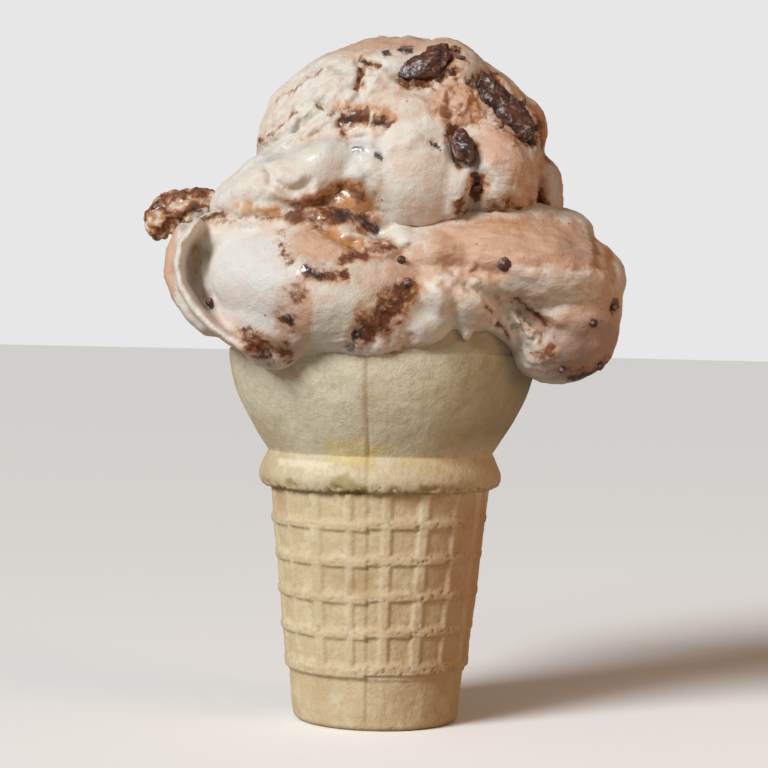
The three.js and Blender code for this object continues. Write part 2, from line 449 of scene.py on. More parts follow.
def noise_at(tree, scale, detail=3.0, rough_share=0.55, distortion=0.0, stretch=(1.0, 1.0, 1.0)):
    """Noise in object space; scale is in lumps per metre, and a small stretch makes long lumps."""
    squeeze = add_node(tree, "Mapping", Scale=stretch)
    tree.links.new(add_node(tree, "TexCoord").outputs["Object"], squeeze.inputs["Vector"])
    settings = dict(Scale=scale, Detail=detail, Roughness=rough_share, Distortion=distortion)
    node = add_node(tree, "TexNoise", **settings)
    tree.links.new(squeeze.outputs["Vector"], node.inputs["Vector"])
    return node.outputs["Fac"]


def ramp(tree, source, low, high):
    """Maps low..high of a value to 0..1 and holds it there."""
    node = add_node(tree, "MapRange", interpolation_type="SMOOTHSTEP")
    node.inputs["From Min"].default_value = low
    node.inputs["From Max"].default_value = high
    tree.links.new(source, node.inputs["Value"])
    return node.outputs["Result"]


def calc(tree, operation, a, b):
    """One sum on two values, each a socket or a number."""
    node = add_node(tree, "Math", operation=operation)
    for socket, value in zip(node.inputs, (a, b)):
        if isinstance(value, (int, float)):
            socket.default_value = value
        else:
            tree.links.new(value, socket)
    return node.outputs[0]


def blend(tree, factor, a, b, mode="MIX"):
    """Colour a turns to colour b by factor; each is a socket or a colour."""
    node = add_node(tree, "Mix", data_type="RGBA", blend_type=mode)
    factor_socket, a_socket, b_socket = node.inputs[0], node.inputs[6], node.inputs[7]
    for socket, value in ((factor_socket, factor), (a_socket, a), (b_socket, b)):
        if isinstance(value, (int, float)):
            socket.default_value = value
        elif isinstance(value, tuple):
            socket.default_value = (*value, 1)
        else:
            tree.links.new(value, socket)
    return node.outputs[2]


def tint(tree, colour, mask, share, shade):
    """Colour, turned towards a shade by a share of a mask."""
    return blend(tree, calc(tree, "MULTIPLY", mask, share), colour, shade)


def bump(tree, height, strength, distance):
    node = add_node(tree, "Bump", Strength=strength, Distance=distance)
    tree.links.new(height, node.inputs["Height"])
    return node.outputs["Normal"]


# %% Wafer material
STEM_TAN = (0.55, 0.43, 0.262)
BOWL_GREY = (0.60, 0.555, 0.41)
FLOURY = (0.70, 0.62, 0.46)
TOASTED = (0.40, 0.245, 0.11)
wafer, tree, shader = new_material("baked_wafer")
mottle = noise_at(tree, 65, 4)
blotch = noise_at(tree, 230, 5, 0.6)
grain = noise_at(tree, 1300, 4, 0.7)
colour = blend(tree, attribute(tree, "bowl"), STEM_TAN, BOWL_GREY)
colour = tint(tree, colour, attribute(tree, "collar"), 0.6, (0.52, 0.45, 0.31))
colour = tint(tree, colour, ramp(tree, mottle, 0.45, 0.75), 0.55, TOASTED)
olive = calc(tree, "MULTIPLY", ramp(tree, noise_at(tree, 420, 5, 0.7), 0.46, 0.72), attribute(tree, "bowl"))
colour = tint(tree, colour, olive, 0.45, (0.36, 0.305, 0.18))
# Painted shade on the low bowl above the collar.
colour = tint(tree, colour, attribute(tree, "low_bowl"), 0.3, (0.33, 0.275, 0.16))
colour = tint(tree, colour, attribute(tree, "floury"), 0.75, FLOURY)
colour = tint(tree, colour, attribute(tree, "yellow"), 0.6, (0.58, 0.45, 0.17))
colour = tint(tree, colour, ramp(tree, blotch, 0.5, 0.36), 0.35, FLOURY)
colour = tint(tree, colour, ramp(tree, grain, 0.45, 0.75), 0.34, (0.34, 0.235, 0.115))
colour = tint(tree, colour, attribute(tree, "pitted"), 0.75, (0.28, 0.17, 0.08))
colour = tint(tree, colour, attribute(tree, "broken"), 0.75, (0.36, 0.27, 0.10))
# Painted shade on the right side of the stem.
colour = tint(tree, colour, attribute(tree, "right_side_shade"), 0.55, (0.44, 0.24, 0.10))
# Painted shade on the rim band and the right side of the bowl.
colour = tint(tree, colour, attribute(tree, "rim_and_side_shade"), 0.7, (0.24, 0.215, 0.135))
# Painted shadow along the mould joint, stronger on the bowl.
joint_share = calc(tree, "ADD", calc(tree, "MULTIPLY", attribute(tree, "bowl"), 0.25), 0.14)
colour = tint(tree, colour, attribute(tree, "joint"), joint_share, (0.30, 0.21, 0.10))
tree.links.new(colour, shader.inputs["Base Color"])
shader.inputs["Roughness"].default_value = 0.85
shader.inputs["Specular IOR Level"].default_value = 0.25
skin = calc(tree, "ADD", noise_at(tree, 900, 5, 0.65), calc(tree, "MULTIPLY", noise_at(tree, 2600, 2), 0.6))
tree.links.new(bump(tree, skin, 0.55, 0.0003), shader.inputs["Normal"])
finish_piece(cup, wafer, "wafer", "wafer_cup")

# %% [markdown]
# ## Ice cream: fused lobes
# Scooped ice cream is pressed together from a few soft masses. Each mass starts
# as a ball that is stretched and turned, and a voxel remesh fuses the balls into
# one closed skin with even faces, which is what the modelling after it needs.
# A little smoothing lets the joins sag into each other as soft food does.

# %% Fuse lobes into one skin


def fuse(name, lobes, grain, softness):
    """One skin round all the lobes; each is (place, radii, turn), in mm and degrees."""
    shape = bmesh.new()
    for place, radii, turns in lobes:
        ball = bmesh.ops.create_icosphere(shape, subdivisions=4, radius=1.0)
        stretch = Matrix.Diagonal((*(r * MM for r in radii), 1))
        spin = Euler([math.radians(a) for a in turns]).to_matrix().to_4x4()
        put = Matrix.Translation(Vector(place) * MM) @ spin @ stretch
        bmesh.ops.transform(shape, matrix=put, verts=ball["verts"])
    obj = object_from(name, shape)
    return reskin(obj, grain, softness)


def curl(path, thick, deep, length):
    """Lobes in a row along a curved edge: thin across it and deep from front to back."""
    lobes = []
    for a, b in zip(path, path[1:]):
        lean = math.degrees(math.atan2(b[0] - a[0], b[2] - a[2]))
        for t in (0.0, 0.33, 0.67):
            place = tuple(p + (q - p) * t for p, q in zip(a, b))
            lobes.append((place, (thick, deep, length), (0, lean, 0)))
    return lobes


def reskin(obj, grain, softness):
    """Gives a piece an even new skin, faces grain millimetres across, and softens it."""
    remesh = obj.modifiers.new("even_skin", "REMESH")
    remesh.mode = "VOXEL"
    remesh.voxel_size = grain * MM
    soften = obj.modifiers.new("soften", "SMOOTH")
    soften.factor = 0.5
    soften.iterations = softness
    evaluated = obj.evaluated_get(bpy.context.evaluated_depsgraph_get())
    skin = bpy.data.meshes.new_from_object(evaluated)
    obj.modifiers.clear()
    obj.data = skin
    skin.name = obj.name
    print(obj.name, "skin points:", len(skin.vertices))
    return obj


# %% [markdown]
# ## Ice cream: strokes on the skin
# The folds, lips, cracks, plates and smears are all drawn the same way: a short
# path on the front or the back of the cone, given as (x, height) in millimetres,
# and a profile across it. The path is rounded first, and a shared wobble keeps
# every edge from looking ruled.

# %% Draw strokes


def rounded(path, steps=6):
    """A smooth path through the given points."""
    p = np.array([path[0], *path, path[-1]], float)
    made = []
    for a, b, c, d in zip(p, p[1:], p[2:], p[3:]):
        for t in np.arange(steps) / steps:
            curve = 2 * b + (c - a) * t + (2 * a - 5 * b + 4 * c - d) * t**2
            made.append((curve + (3 * b - a - 3 * c + d) * t**3) / 2)
    return np.array([*made, p[-1]])


class Skin:
    """The points of a piece with what the strokes need, measured once."""

    def __init__(self, obj, wobble):
        self.obj = obj
        self.points = points_of(obj)
        self.normals = normals_of(obj)
        self.flat = self.points[:, [0, 2]].copy()
        self.flat[:, 0] += wobble * rough(self.points, 3.0, 21, 3)
        self.flat[:, 1] += wobble * rough(self.points, 3.0, 22, 3)
        self.push = np.zeros(len(self.points))
        self.shift = np.zeros((len(self.points), 3))

    def move(self, amount, side):
        """Moves the skin out by an amount, half along its own facing and half straight out."""
        way = self.normals + [0, 1.2 * side, 0]
        self.shift += amount[:, None] * way / np.linalg.norm(way, axis=1)[:, None].clip(0.3)

    def facing(self, side):
        """1 where the skin faces the front (side -1) or the back (side 1)."""
        return ease(side * self.normals[:, 1], -0.05, 0.3)

    def across(self, path, side=-1):
        """Distance from a path, + on its left as it is walked, and a fade at its ends."""
        route = rounded(path)
        margin = 10.0
        inside = (self.flat > route.min(0) - margin) & (self.flat < route.max(0) + margin)
        near = np.flatnonzero(inside.all(axis=1))
        flat = self.flat[near]
        steps = np.diff(route, axis=0)
        lengths = np.maximum(np.hypot(*steps.T), 1e-6)
        nearest, hand, along = np.full(len(near), 1e9), np.ones(len(near)), np.zeros(len(near))
        walked = 0.0
        for a, step, length in zip(route, steps / lengths[:, None], lengths):
            reach = (flat - a) @ step
            gap = flat - a - np.clip(reach, 0, length)[:, None] * step
            distance = np.hypot(*gap.T)
            closer = distance < nearest
            nearest[closer] = distance[closer]
            hand[closer] = np.sign(step[0] * gap[:, 1] - step[1] * gap[:, 0] + 1e-12)[closer]
            along[closer] = (walked + np.clip(reach, 0, length)[closer]) / lengths.sum()
            walked += length
        signed, fade = np.full(len(self.flat), 99.0), np.zeros(len(self.flat))
        signed[near] = nearest * hand
        fade[near] = ease(along, -0.02, 0.16) * (1 - ease(along, 0.84, 1.02))
        return signed, fade * self.facing(side)

    def ridge(self, path, width, height, side=-1):
        """A rounded ridge, or a groove where height is less than 0."""
        d, fade = self.across(path, side)
        self.move(height * np.exp(-((d / width) ** 2)) * fade, side)

    def fold(self, path, reach, height, side=-1):
        """A layer that ends in a lip: proud on the path's left, tucked in on its right."""
        d, fade = self.across(path, side)
        lip = np.tanh(d / 0.4) * np.exp(-np.abs(d) / np.where(d > 0, reach, 0.5 * reach))
        self.move(height * lip * fade, side)

    def step(self, path, reach, depth, side=-1):
        """A wall along the path: the skin on the path's right drops away from it."""
        d, fade = self.across(path, side)
        self.move(np.where(d < 0, -depth * np.exp(np.minimum(d, 0) / reach), 0) * fade, side)

    def plate(self, outline, height, proud, side=-1):
        """A thin plate with a crisp edge round a closed outline; it lifts most near proud."""
        loop = rounded([*outline, outline[0]])
        margin = 4.0
        near = ((self.flat > loop.min(0) - margin) & (self.flat < loop.max(0) + margin)).all(axis=1)
        flat = self.flat[near]
        within = np.zeros(len(flat), bool)
        nearest = np.full(len(flat), 1e9)
        for a, b in zip(loop, loop[1:]):
            step = b - a
            length = max(float(np.hypot(*step)), 1e-6)
            reach = np.clip((flat - a) @ step / length**2, 0, 1)
            nearest = np.minimum(nearest, np.hypot(*(flat - a - reach[:, None] * step).T))
            straddles = (a[1] > flat[:, 1]) != (b[1] > flat[:, 1])
            rise = step[1] if abs(step[1]) > 1e-9 else 1e-9
            within ^= straddles & (flat[:, 0] < a[0] + (flat[:, 1] - a[1]) * step[0] / rise)
        wall = np.where(within, 1 - 1.3 * np.exp(-nearest / 0.55), -0.3 * np.exp(-nearest / 0.8))
        span = np.hypot(*(loop - proud).T).max()
        lift = 1 - 0.8 * np.clip(np.hypot(*(flat - proud).T) / span, 0, 1)
        amount = np.zeros(len(self.flat))
        amount[near] = height * wall * lift
        self.move(amount * self.facing(side), side)

    def spot(self, x, height, half_width, half_height, side=-1):
        """1 inside a soft oval area, 0 outside."""
        aside = (self.flat[:, 0] - x) / half_width
        up = (self.flat[:, 1] - height) / half_height
        return (1 - ease(np.hypot(aside, up), 0.55, 1.1)) * self.facing(side)

    def smears(self, strokes, side=-1):
        """Soft bands of paint and the paler halo round them; a stroke is (path, width, strength)."""
        core, halo = np.zeros(len(self.flat)), np.zeros(len(self.flat))
        for path, width, strength in strokes:
            d, fade = self.across(path, side)
            fade = strength * np.minimum(1, 1.6 * fade)
            core = np.maximum(core, fade * np.exp(-((d / (0.95 * width)) ** 2)))
            halo = np.maximum(halo, fade * np.exp(-((d / (1.9 * width)) ** 2)))
        return core, halo

    def flakes(self, size, lean):
        """Thin broken layers that lean by an angle in degrees: noise cut into terraces."""
        c, s = math.cos(math.radians(lean)), math.sin(math.radians(lean))
        x, y, z = self.points.T
        turned = np.stack([(c * x + s * z) / 2.6, y / 1.6, c * z - s * x], axis=1)
        level = 2.6 * rough(turned, size, 31, 3)
        return level - 0.95 * np.sin(2 * math.pi * level) / (2 * math.pi)

    def crumbs(self, size, seed):
        """Rounded crumbs about size millimetres across, 0 between them and 1 on top."""
        shift = np.array([3.1, 8.7, 1.9]) * seed
        spots = (self.points / size + shift).tolist()
        nearest = np.array([noise.voronoi(spot)[0][0] for spot in spots])
        return np.sqrt(np.clip(1 - (nearest / 0.62) ** 2, 0, 1))

    def apply(self):
        set_points(self.obj, self.points + self.shift + self.normals * self.push[:, None])


def paint_stains_and_shade(obj, **stains):
    for name, values in stains.items():
        paint(obj, name, values)


# %% [markdown]
# ## The upper scoop
# The dome carries thin plates of ice cream that the scoop peeled and pressed: a
# smooth leaf that slopes down to the left, a tall smooth plate in front, a round
# one at the right and flakes at the upper left. Lobes give the masses, the plates
# and folds on them cast the small shadows, and crumbs gather round the chocolate.

# %% Upper scoop: lobes
UPPER_LOBES = [
    ((2.6, 2, 118.4), (30.4, 30, 24.4), (0, 0, 0)),
    ((4, 6, 112), (32.6, 29, 16), (0, 0, 0)),
    ((-17.0, -9, 110.6), (20.0, 21.5, 8.4), (0, -16, 0)),
    ((-13, -12.5, 113.8), (13.5, 17.5, 7.6), (0, -30, 0)),
    ((-4.0, -12.6, 112.0), (9.0, 17.6, 12.4), (0, 0, 0)),
    ((-6.5, -18.5, 106.4), (11.0, 10.4, 5.2), (0, 0, 0)),
    ((-20.0, -17.6, 103.8), (14.0, 12.4, 4.4), (0, -4, 0)),
    ((13.6, -11.5, 111.8), (9.5, 17.8, 12.4), (0, 0, 0)),
    ((5.4, -13.6, 114.2), (13.6, 17.6, 15.0), (6, 0, 0)),
    ((3.5, -13.5, 124.4), (11.0, 14.6, 6.8), (18, 0, 0)),
    ((20.5, -9.5, 113.5), (12.0, 19.6, 12.6), (0, 10, 0)),
    ((28.5, -3, 110.5), (8.4, 15, 9.6), (0, 0, 0)),
    ((24.6, 0, 122.5), (8.0, 16, 9.5), (0, 38, 0)),
    ((11.5, -8, 133.4), (9.5, 13, 8.0), (0, 14, 0)),
]
upper = fuse("upper_ice_cream", UPPER_LOBES, 0.8, 3)

# %% Upper scoop: plates, folds and cracks
LEFT_LEAF = [
    (-37, 105), (-31, 110.4), (-26.6, 113.6), (-20.5, 116.8), (-14, 119), (-9.5, 119.2), (-7, 117),
    (-4.6, 112.5), (-4.2, 109.6), (-7.4, 110.4), (-11, 108.2), (-17, 105.8), (-25, 104), (-33, 104),
]
TALL_PLATE = [
    (-4.2, 120.5), (-3.2, 126.4), (-0.2, 129.2), (3.8, 129), (8.3, 127.5), (11.2, 125.1),
    (12.3, 121.9), (12.8, 118), (14.6, 114.6), (17, 113.4), (16.4, 108), (13.8, 104), (12, 102),
    (8.8, 101.2), (4, 101.6), (0.8, 103.4), (-1.7, 107), (-3.6, 111.5), (-4.9, 116),
]
UPPER_BAND = [
    (-1.8, 122.3), (-2.8, 126), (0.2, 128.6), (4, 128.4), (8.2, 127), (10.8, 124.9), (11.9, 122.2),
    (5, 122.7),
]
ROUND_PLATE = [
    (15.4, 122.2), (18.8, 124.2), (22.6, 123.2), (26, 118.8), (29.8, 113.6), (30.6, 109),
    (29.4, 105.4), (26, 103.2), (21, 102.3), (18.6, 103), (18.9, 108), (19.7, 112), (18, 115.5),
    (15.8, 118.4),
]
SQUARE_PLATE = [
    (-5.4, 134.2), (-0.8, 134.4), (1.2, 131.8), (3, 129.6), (-0.4, 129.6), (-4.6, 127.6),
    (-5.9, 130),
]
SMALL_PLATE = [(-14.5, 129.6), (-9.5, 131.4), (-7, 130.6), (-6.6, 126.6), (-11, 125), (-15.5, 126.6)]
END_STRIP = [(31.2, 116), (33.6, 117.6), (36, 112), (36.4, 105), (33, 103.4), (31.4, 108)]

skin = Skin(upper, 0.75)
front = skin.facing(-1)
skin.plate(LEFT_LEAF, 1.6, (-27, 110))
skin.plate(TALL_PLATE, 1.8, (12, 105))
skin.plate(UPPER_BAND, 0.6, (4, 127))
skin.plate(ROUND_PLATE, 2.0, (24, 116))
skin.plate(SQUARE_PLATE, 1.3, (-4, 131))
skin.plate(SMALL_PLATE, 1.0, (-13, 127))
skin.plate(END_STRIP, 1.4, (34, 108))
skin.ridge([(-30, 112.4), (-24.7, 116.2), (-20.4, 118.5), (-16.8, 120.1), (-12, 124.5)], 1.2, 2.0)
skin.ridge([(-28, 117.0), (-22.0, 119.6), (-16.8, 122.4), (-13.5, 126.5)], 1.0, -1.5)
skin.fold([(-31, 120), (-25, 123), (-20, 128), (-16, 133)][::-1], 2.4, 1.2)
skin.fold([(-27.5, 119.5), (-22, 122.5), (-17.5, 126.5)][::-1], 1.8, 1.1)
skin.fold([(-24, 128), (-18, 131), (-12, 135.5)][::-1], 2.2, 1.0)
skin.fold([(-19, 124.0), (-14.5, 127.5), (-12, 131.5)][::-1], 1.6, 0.9)
skin.ridge(
    [(-25.5, 113.4), (-23.8, 112.5), (-21.7, 109.9), (-19.2, 108.8), (-16.9, 109.2), (-14.0, 111.2)],
    0.7,
    -1.5,
)
skin.ridge([(-23.0, 109.2), (-19.2, 106.8), (-15.9, 107.4), (-13.2, 109.6)], 1.0, 1.0)
skin.fold([(-0.1, 121.9), (-2.1, 122.6), (-5.5, 123.4), (-10.2, 123.6)][::-1], 2.6, 1.1)
skin.ridge([(-9.4, 124.0), (-9.4, 120.2)], 0.8, -1.2)
skin.ridge([(-9.0, 118.6), (-5.7, 119.3), (0.0, 118.7)], 0.6, -1.4)
skin.ridge([(-7.1, 117.6), (-3.5, 116.6), (-0.2, 114.8)], 1.1, 0.9)
skin.ridge([(-6.3, 128.6), (-5.9, 132.0), (-6.3, 135.2)], 0.6, -1.8)
skin.ridge([(-7.4, 136.2), (-4.4, 135.2), (-1.4, 134.4)], 0.9, -2.4)
skin.ridge([(0.0, 116.6), (5.1, 118.6), (7.6, 120.0)], 1.0, 0.9)
skin.ridge([(8.4, 118.6), (10.2, 117.0)], 0.7, -1.0)
skin.ridge([(13.6, 121.0), (14.4, 117.0), (17.2, 114.6)], 1.0, -1.6)
skin.ridge([(17.6, 113.0), (17.6, 108.0), (15.4, 103.6)], 1.1, -1.4)
skin.fold(
    [(-36.5, 105.2), (-26.7, 103.6), (-21.0, 103.7), (-15.8, 105.5), (-9.2, 109.2), (-7.2, 112.6)],
    1.6,
    0.45,
)
skin.ridge([(-5.0, 112.5), (-3.0, 107.5), (-0.2, 103.4)], 1.4, -0.9)
skin.ridge([(20.8, 108.5), (21.6, 104.5)], 0.8, -1.3)
skin.ridge([(24.8, 109.5), (24.6, 105.5)], 0.7, -1.1)
skin.ridge([(27.2, 112.0), (27.4, 106.5)], 0.7, -0.8)
skin.ridge([(31.0, 118.0), (30.8, 112.0), (31.6, 105.0)], 0.8, -1.6)
skin.ridge([(1.0, 131.8), (5.5, 132.4), (9.5, 134.6), (12.6, 138.0)], 1.6, -1.6)
skin.ridge([(17.0, 134.0), (21.5, 130.2), (26.4, 124.2), (29.0, 118.6)], 1.9, -1.9)
skin.ridge([(20.0, 135.4), (26.4, 129.6), (30.4, 123.4), (32.4, 117.4)], 1.2, 1.2)
crumble = np.maximum.reduce([
    skin.spot(14.5, 126.5, 6.5, 6.5),
    skin.spot(9, 131.5, 8, 3.2),
    0.6 * skin.spot(-4, 133, 4, 4),
    0.8 * skin.spot(20, 126, 4, 7),
])
flaky = np.maximum(skin.spot(-16, 127, 13.5, 10.5), ease(skin.points[:, 1], 4, 16))
flaky = np.maximum(flaky, 0.4 * ease(skin.points[:, 2], 138, 142))
skin.push += (0.8 - 0.35 * front) * flaky * skin.flakes(3.6, 50)
skin.push += crumble * (0.8 * skin.crumbs(2.6, 33) + 1.1 * ridged(skin.points, 2.6, 34, 4) - 0.6)
smooth = 1 - 0.75 * np.maximum(skin.spot(-18, 110, 15, 7), skin.spot(5, 112, 8, 11))
skin.push += (0.4 - 0.15 * front) * smooth * rough(skin.points, 7, 34, 2)
skin.push += 0.2 * smooth * rough(skin.points, 2.4, 35, 3)
skin.ridge([(30, 119), (14, 114), (0, 117), (-16, 113), (-29, 118)], 2.0, -1.6, side=1)
skin.ridge([(22, 131), (8, 126), (-8, 129), (-20, 126)], 1.6, -1.2, side=1)
skin.fold([(32, 109), (16, 105.5), (-2, 109), (-18, 105), (-32, 108)], 3.0, 1.4, side=1)
skin.apply()
reskin(upper, 0.46, 1)
print("upper scoop strokes, mm:", round(float(skin.push.min()), 1), round(float(skin.push.max()), 1))

# %% Upper scoop: stains and fine skin
skin = Skin(upper, 0.9)
front = skin.facing(-1)
behind = 1 - ease(-skin.normals[:, 1], -0.15, 0.2)
swirl_noise = rough(skin.points / [2.2, 2.2, 1.0], 5.5, 44, 4)
tanning = ease(rough(skin.points, 11, 45, 3), -0.1, 0.5)

fudge, halo = skin.smears([
    ([(-9.9, 123.4), (-7.5, 123.6), (-5.2, 123.9), (-3.2, 123.0)], 1.5, 1.0),
    ([(-3.2, 123.4), (-1.4, 122.6), (0.4, 121.6)], 1.4, 1.0),
    ([(-9.0, 123.4), (-9.6, 119.2)], 0.9, 1.0),
    ([(-6.6, 136.2), (-4.2, 135.2), (-1.8, 134.6)], 0.9, 1.0),
    ([(-6.2, 128.6), (-5.8, 132.0), (-6.2, 135.0)], 0.6, 1.0),
    ([(17.2, 112.6), (18.0, 110.2), (17.0, 108.0)], 1.7, 1.0),
    ([(14.2, 108.0), (14.8, 105.2), (15.4, 103.0)], 1.2, 0.9),
    ([(14.6, 103.4), (17.0, 102.4), (20.5, 102.2), (25.5, 104.0)], 1.3, 1.0),
    ([(18.6, 103.8), (23.0, 104.8), (28.0, 106.0)], 2.6, 0.8),
    ([(28.6, 109.0), (28.4, 105.0)], 0.9, 0.7),
    ([(-20, 104.8), (-13.0, 106.6), (-8.0, 109.2), (-4.0, 106.4)], 1.8, 0.6),
    # This stroke is painted shadow: it darkens the crevice beside the front chunk.
    ([(12.2, 122.4), (14.4, 118.2), (16.6, 114.4)], 1.9, 0.9),
    ([(17.0, 135.0), (21.5, 130.8), (26.6, 124.6), (29.4, 118.4)], 2.6, 0.95),
    ([(1.0, 131.6), (6.5, 132.0), (11.0, 135.0), (13.0, 138.4)], 2.0, 0.95),
    ([(-28.5, 119.0), (-22.4, 122.2), (-17.8, 126.4)], 0.5, 0.7),
    ([(-24.5, 127.6), (-18.4, 130.6), (-12.4, 135.2)], 0.5, 0.6),
    ([(-14.8, 126.0), (-11.0, 124.6), (-7.2, 126.2)], 0.5, 0.7),
    ([(29.6, 127.0), (32.0, 121.0), (32.4, 116.0)], 1.0, 0.7),
    ([(31.2, 112.0), (31.4, 105.4)], 0.9, 0.9),
    ([(9.0, 138.6), (15.0, 138.2)], 1.2, 0.7),
])
orange, _ = skin.smears([
    ([(-12.0, 124.6), (-6.0, 126.0), (-1.0, 124.6), (1.6, 121.8)], 2.2, 0.7),
    ([(-17.5, 105.4), (-12.5, 107.0), (-8.0, 109.6), (-3.6, 108.2)], 2.8, 0.85),
    ([(-7.0, 132.4), (-3.0, 135.6)], 1.6, 0.5),
    ([(-31, 106.0), (-26.0, 104.6), (-20, 104.4)], 1.6, 0.7),
    ([(12.0, 131.0), (16.6, 126.5), (18.5, 121.0)], 1.8, 0.65),
    ([(20.0, 136.0), (27.0, 130.0), (31.4, 124.0), (33.5, 117.0)], 1.8, 0.8),
    ([(15.0, 121.5), (18.0, 117.5)], 1.2, 0.7),
    ([(2.0, 130.6), (4.0, 131.4)], 1.2, 0.8),
])
orange = np.maximum.reduce([orange, 0.72 * halo, 0.95 * skin.spot(-8.5, 106.8, 8, 3.8)])
dark, _ = skin.smears([
    ([(-9.0, 122.9), (-6.8, 123.2)], 1.0, 0.9),
    ([(-2.6, 122.5), (-0.6, 121.6)], 0.7, 0.8),
    ([(-6.8, 117.6), (-4.6, 116.6)], 0.9, 0.7),
    ([(-3.0, 116.2), (-0.6, 115.4)], 0.9, 0.95),
    ([(-6.4, 136.0), (-4.4, 135.4)], 0.6, 0.9),
    ([(17.6, 112.6), (18.0, 110.4)], 1.0, 0.7),
    ([(16.2, 102.8), (19.4, 102.2)], 1.0, 0.95),
    ([(17.4, 134.2), (21.5, 130.2), (26.4, 124.2), (29.2, 118.8)], 1.6, 1.0),
    ([(2.0, 132.0), (7.0, 133.0), (11.0, 136.4)], 1.2, 0.9),
    ([(8.0, 118.3), (8.9, 117.9)], 0.6, 1.0),
    ([(10.0, 117.4), (10.8, 116.9)], 0.35, 0.9),
    ([(-1.6, 137.6), (0.6, 138.0)], 0.9, 1.0),
    ([(2.0, 138.4), (5.0, 138.6)], 0.9, 1.0),
    ([(32.6, 109.0), (33.0, 105.4)], 1.0, 0.6),
])
wet, _ = skin.smears([
    ([(-10.0, 123.0), (-6.0, 123.0)], 1.6, 1.0),
    ([(-14.0, 112.6), (-9.8, 109.6), (-8.4, 107.4)], 2.4, 1.0),
    ([(-26.0, 115.2), (-16.0, 117.2), (-8.0, 117.6)], 2.0, 0.6),
    ([(-8.0, 118.2), (-4.0, 117.0)], 1.4, 0.9),
    ([(28.0, 122.0), (32.5, 117.0)], 1.4, 0.5),
])
wet = np.maximum(wet, 0.6 * dark)
bluish, _ = skin.smears([
    ([(-13.5, 119.0), (-9.5, 116.6), (-6.2, 113.0), (-4.2, 109.0)], 3.2, 0.7),
    ([(-8.2, 118.2), (-4.0, 117.4), (-0.4, 116.2)], 1.8, 1.0),
    ([(-10.2, 123.2), (-7.0, 123.4)], 1.6, 0.9),
    ([(33.0, 116.5), (34.4, 110.5), (33.6, 105.5)], 2.2, 0.8),
    ([(19.5, 130.0), (23.6, 126.6)], 1.2, 0.6),
])
tan_tint = np.maximum.reduce([
    0.35 * skin.spot(-17, 128, 17, 12) * (0.3 + 0.7 * tanning),
    0.85 * skin.spot(13.5, 127, 8, 7),
    0.95 * skin.spot(26.5, 109.5, 7.5, 9.5) * (0.5 + 0.5 * tanning),
    0.8 * skin.spot(22.5, 119, 7, 7),
    0.85 * ease(skin.points[:, 2] + 2 * tanning, 133, 141),
    0.9 * ease(skin.points[:, 0], 26, 31) * front,
    0.5 * skin.spot(3.0, 128.6, 8, 1.8),
    0.7 * skin.smears([([(-10.5, 111.5), (-6.0, 106.8), (-1.5, 104.0)], 3.0, 1.0)])[0],
    behind * (0.3 + 0.5 * tanning),
    0.38 * tanning * front,
    0.8 * halo,
])
tan_tint *= 1 - 0.8 * skin.spot(-25, 110, 10, 5)
fudge = np.maximum(fudge, 0.75 * ease(swirl_noise, 0.12, 0.42) * behind)
orange = np.maximum(orange, 0.8 * ease(swirl_noise, 0.0, 0.4) * behind)
# Painted shade: darkens the hollow between the tall and the round plate and the right end, which face away
# from the lamp.
cocoa = np.maximum(0.6 * skin.spot(17.5, 106, 4, 5), 0.5 * skin.spot(33, 110, 3, 7))
paint_stains_and_shade(upper, fudge=fudge, orange=orange, dark=dark, wet=wet, bluish=bluish, tan=tan_tint, cocoa=cocoa)
crumble = np.maximum.reduce([
    skin.spot(14.5, 126.5, 6.5, 6.5),
    skin.spot(9, 131.5, 8, 3.2),
    skin.spot(20, 126, 4, 7),
])
paint(upper, "streaked", skin.spot(24, 110, 9, 10) + behind)
flaky = skin.spot(-16, 127, 13.5, 10.5)
skin.push += 0.08 * rough(skin.points, 1.5, 41, 2) + 0.035 * rough(skin.points, 0.7, 42, 2)
skin.push += 0.2 * flaky * skin.flakes(1.8, 52)
skin.push += (crumble + 0.7 * fudge) * (0.30 * ridged(skin.points, 1.6, 43, 3) - 0.12)
skin.push += 0.16 * skin.spot(24, 110, 9, 10) * rough(skin.points / [1, 1, 5], 0.9, 46, 2)
skin.apply()
print("upper scoop: share of skin with fudge:", round(float((fudge > 0.4).mean()), 3))

# %% [markdown]
# ## The lower scoop
# The lower mass is softer. Its smooth front sags over the rim and ends in a thick
# rounded edge; a roll leads round to a heavy lobe that hangs at the right, torn
# open on its near side; and at the left it ends in thin curled shells. A plug of
# ice cream reaches down into the cup.

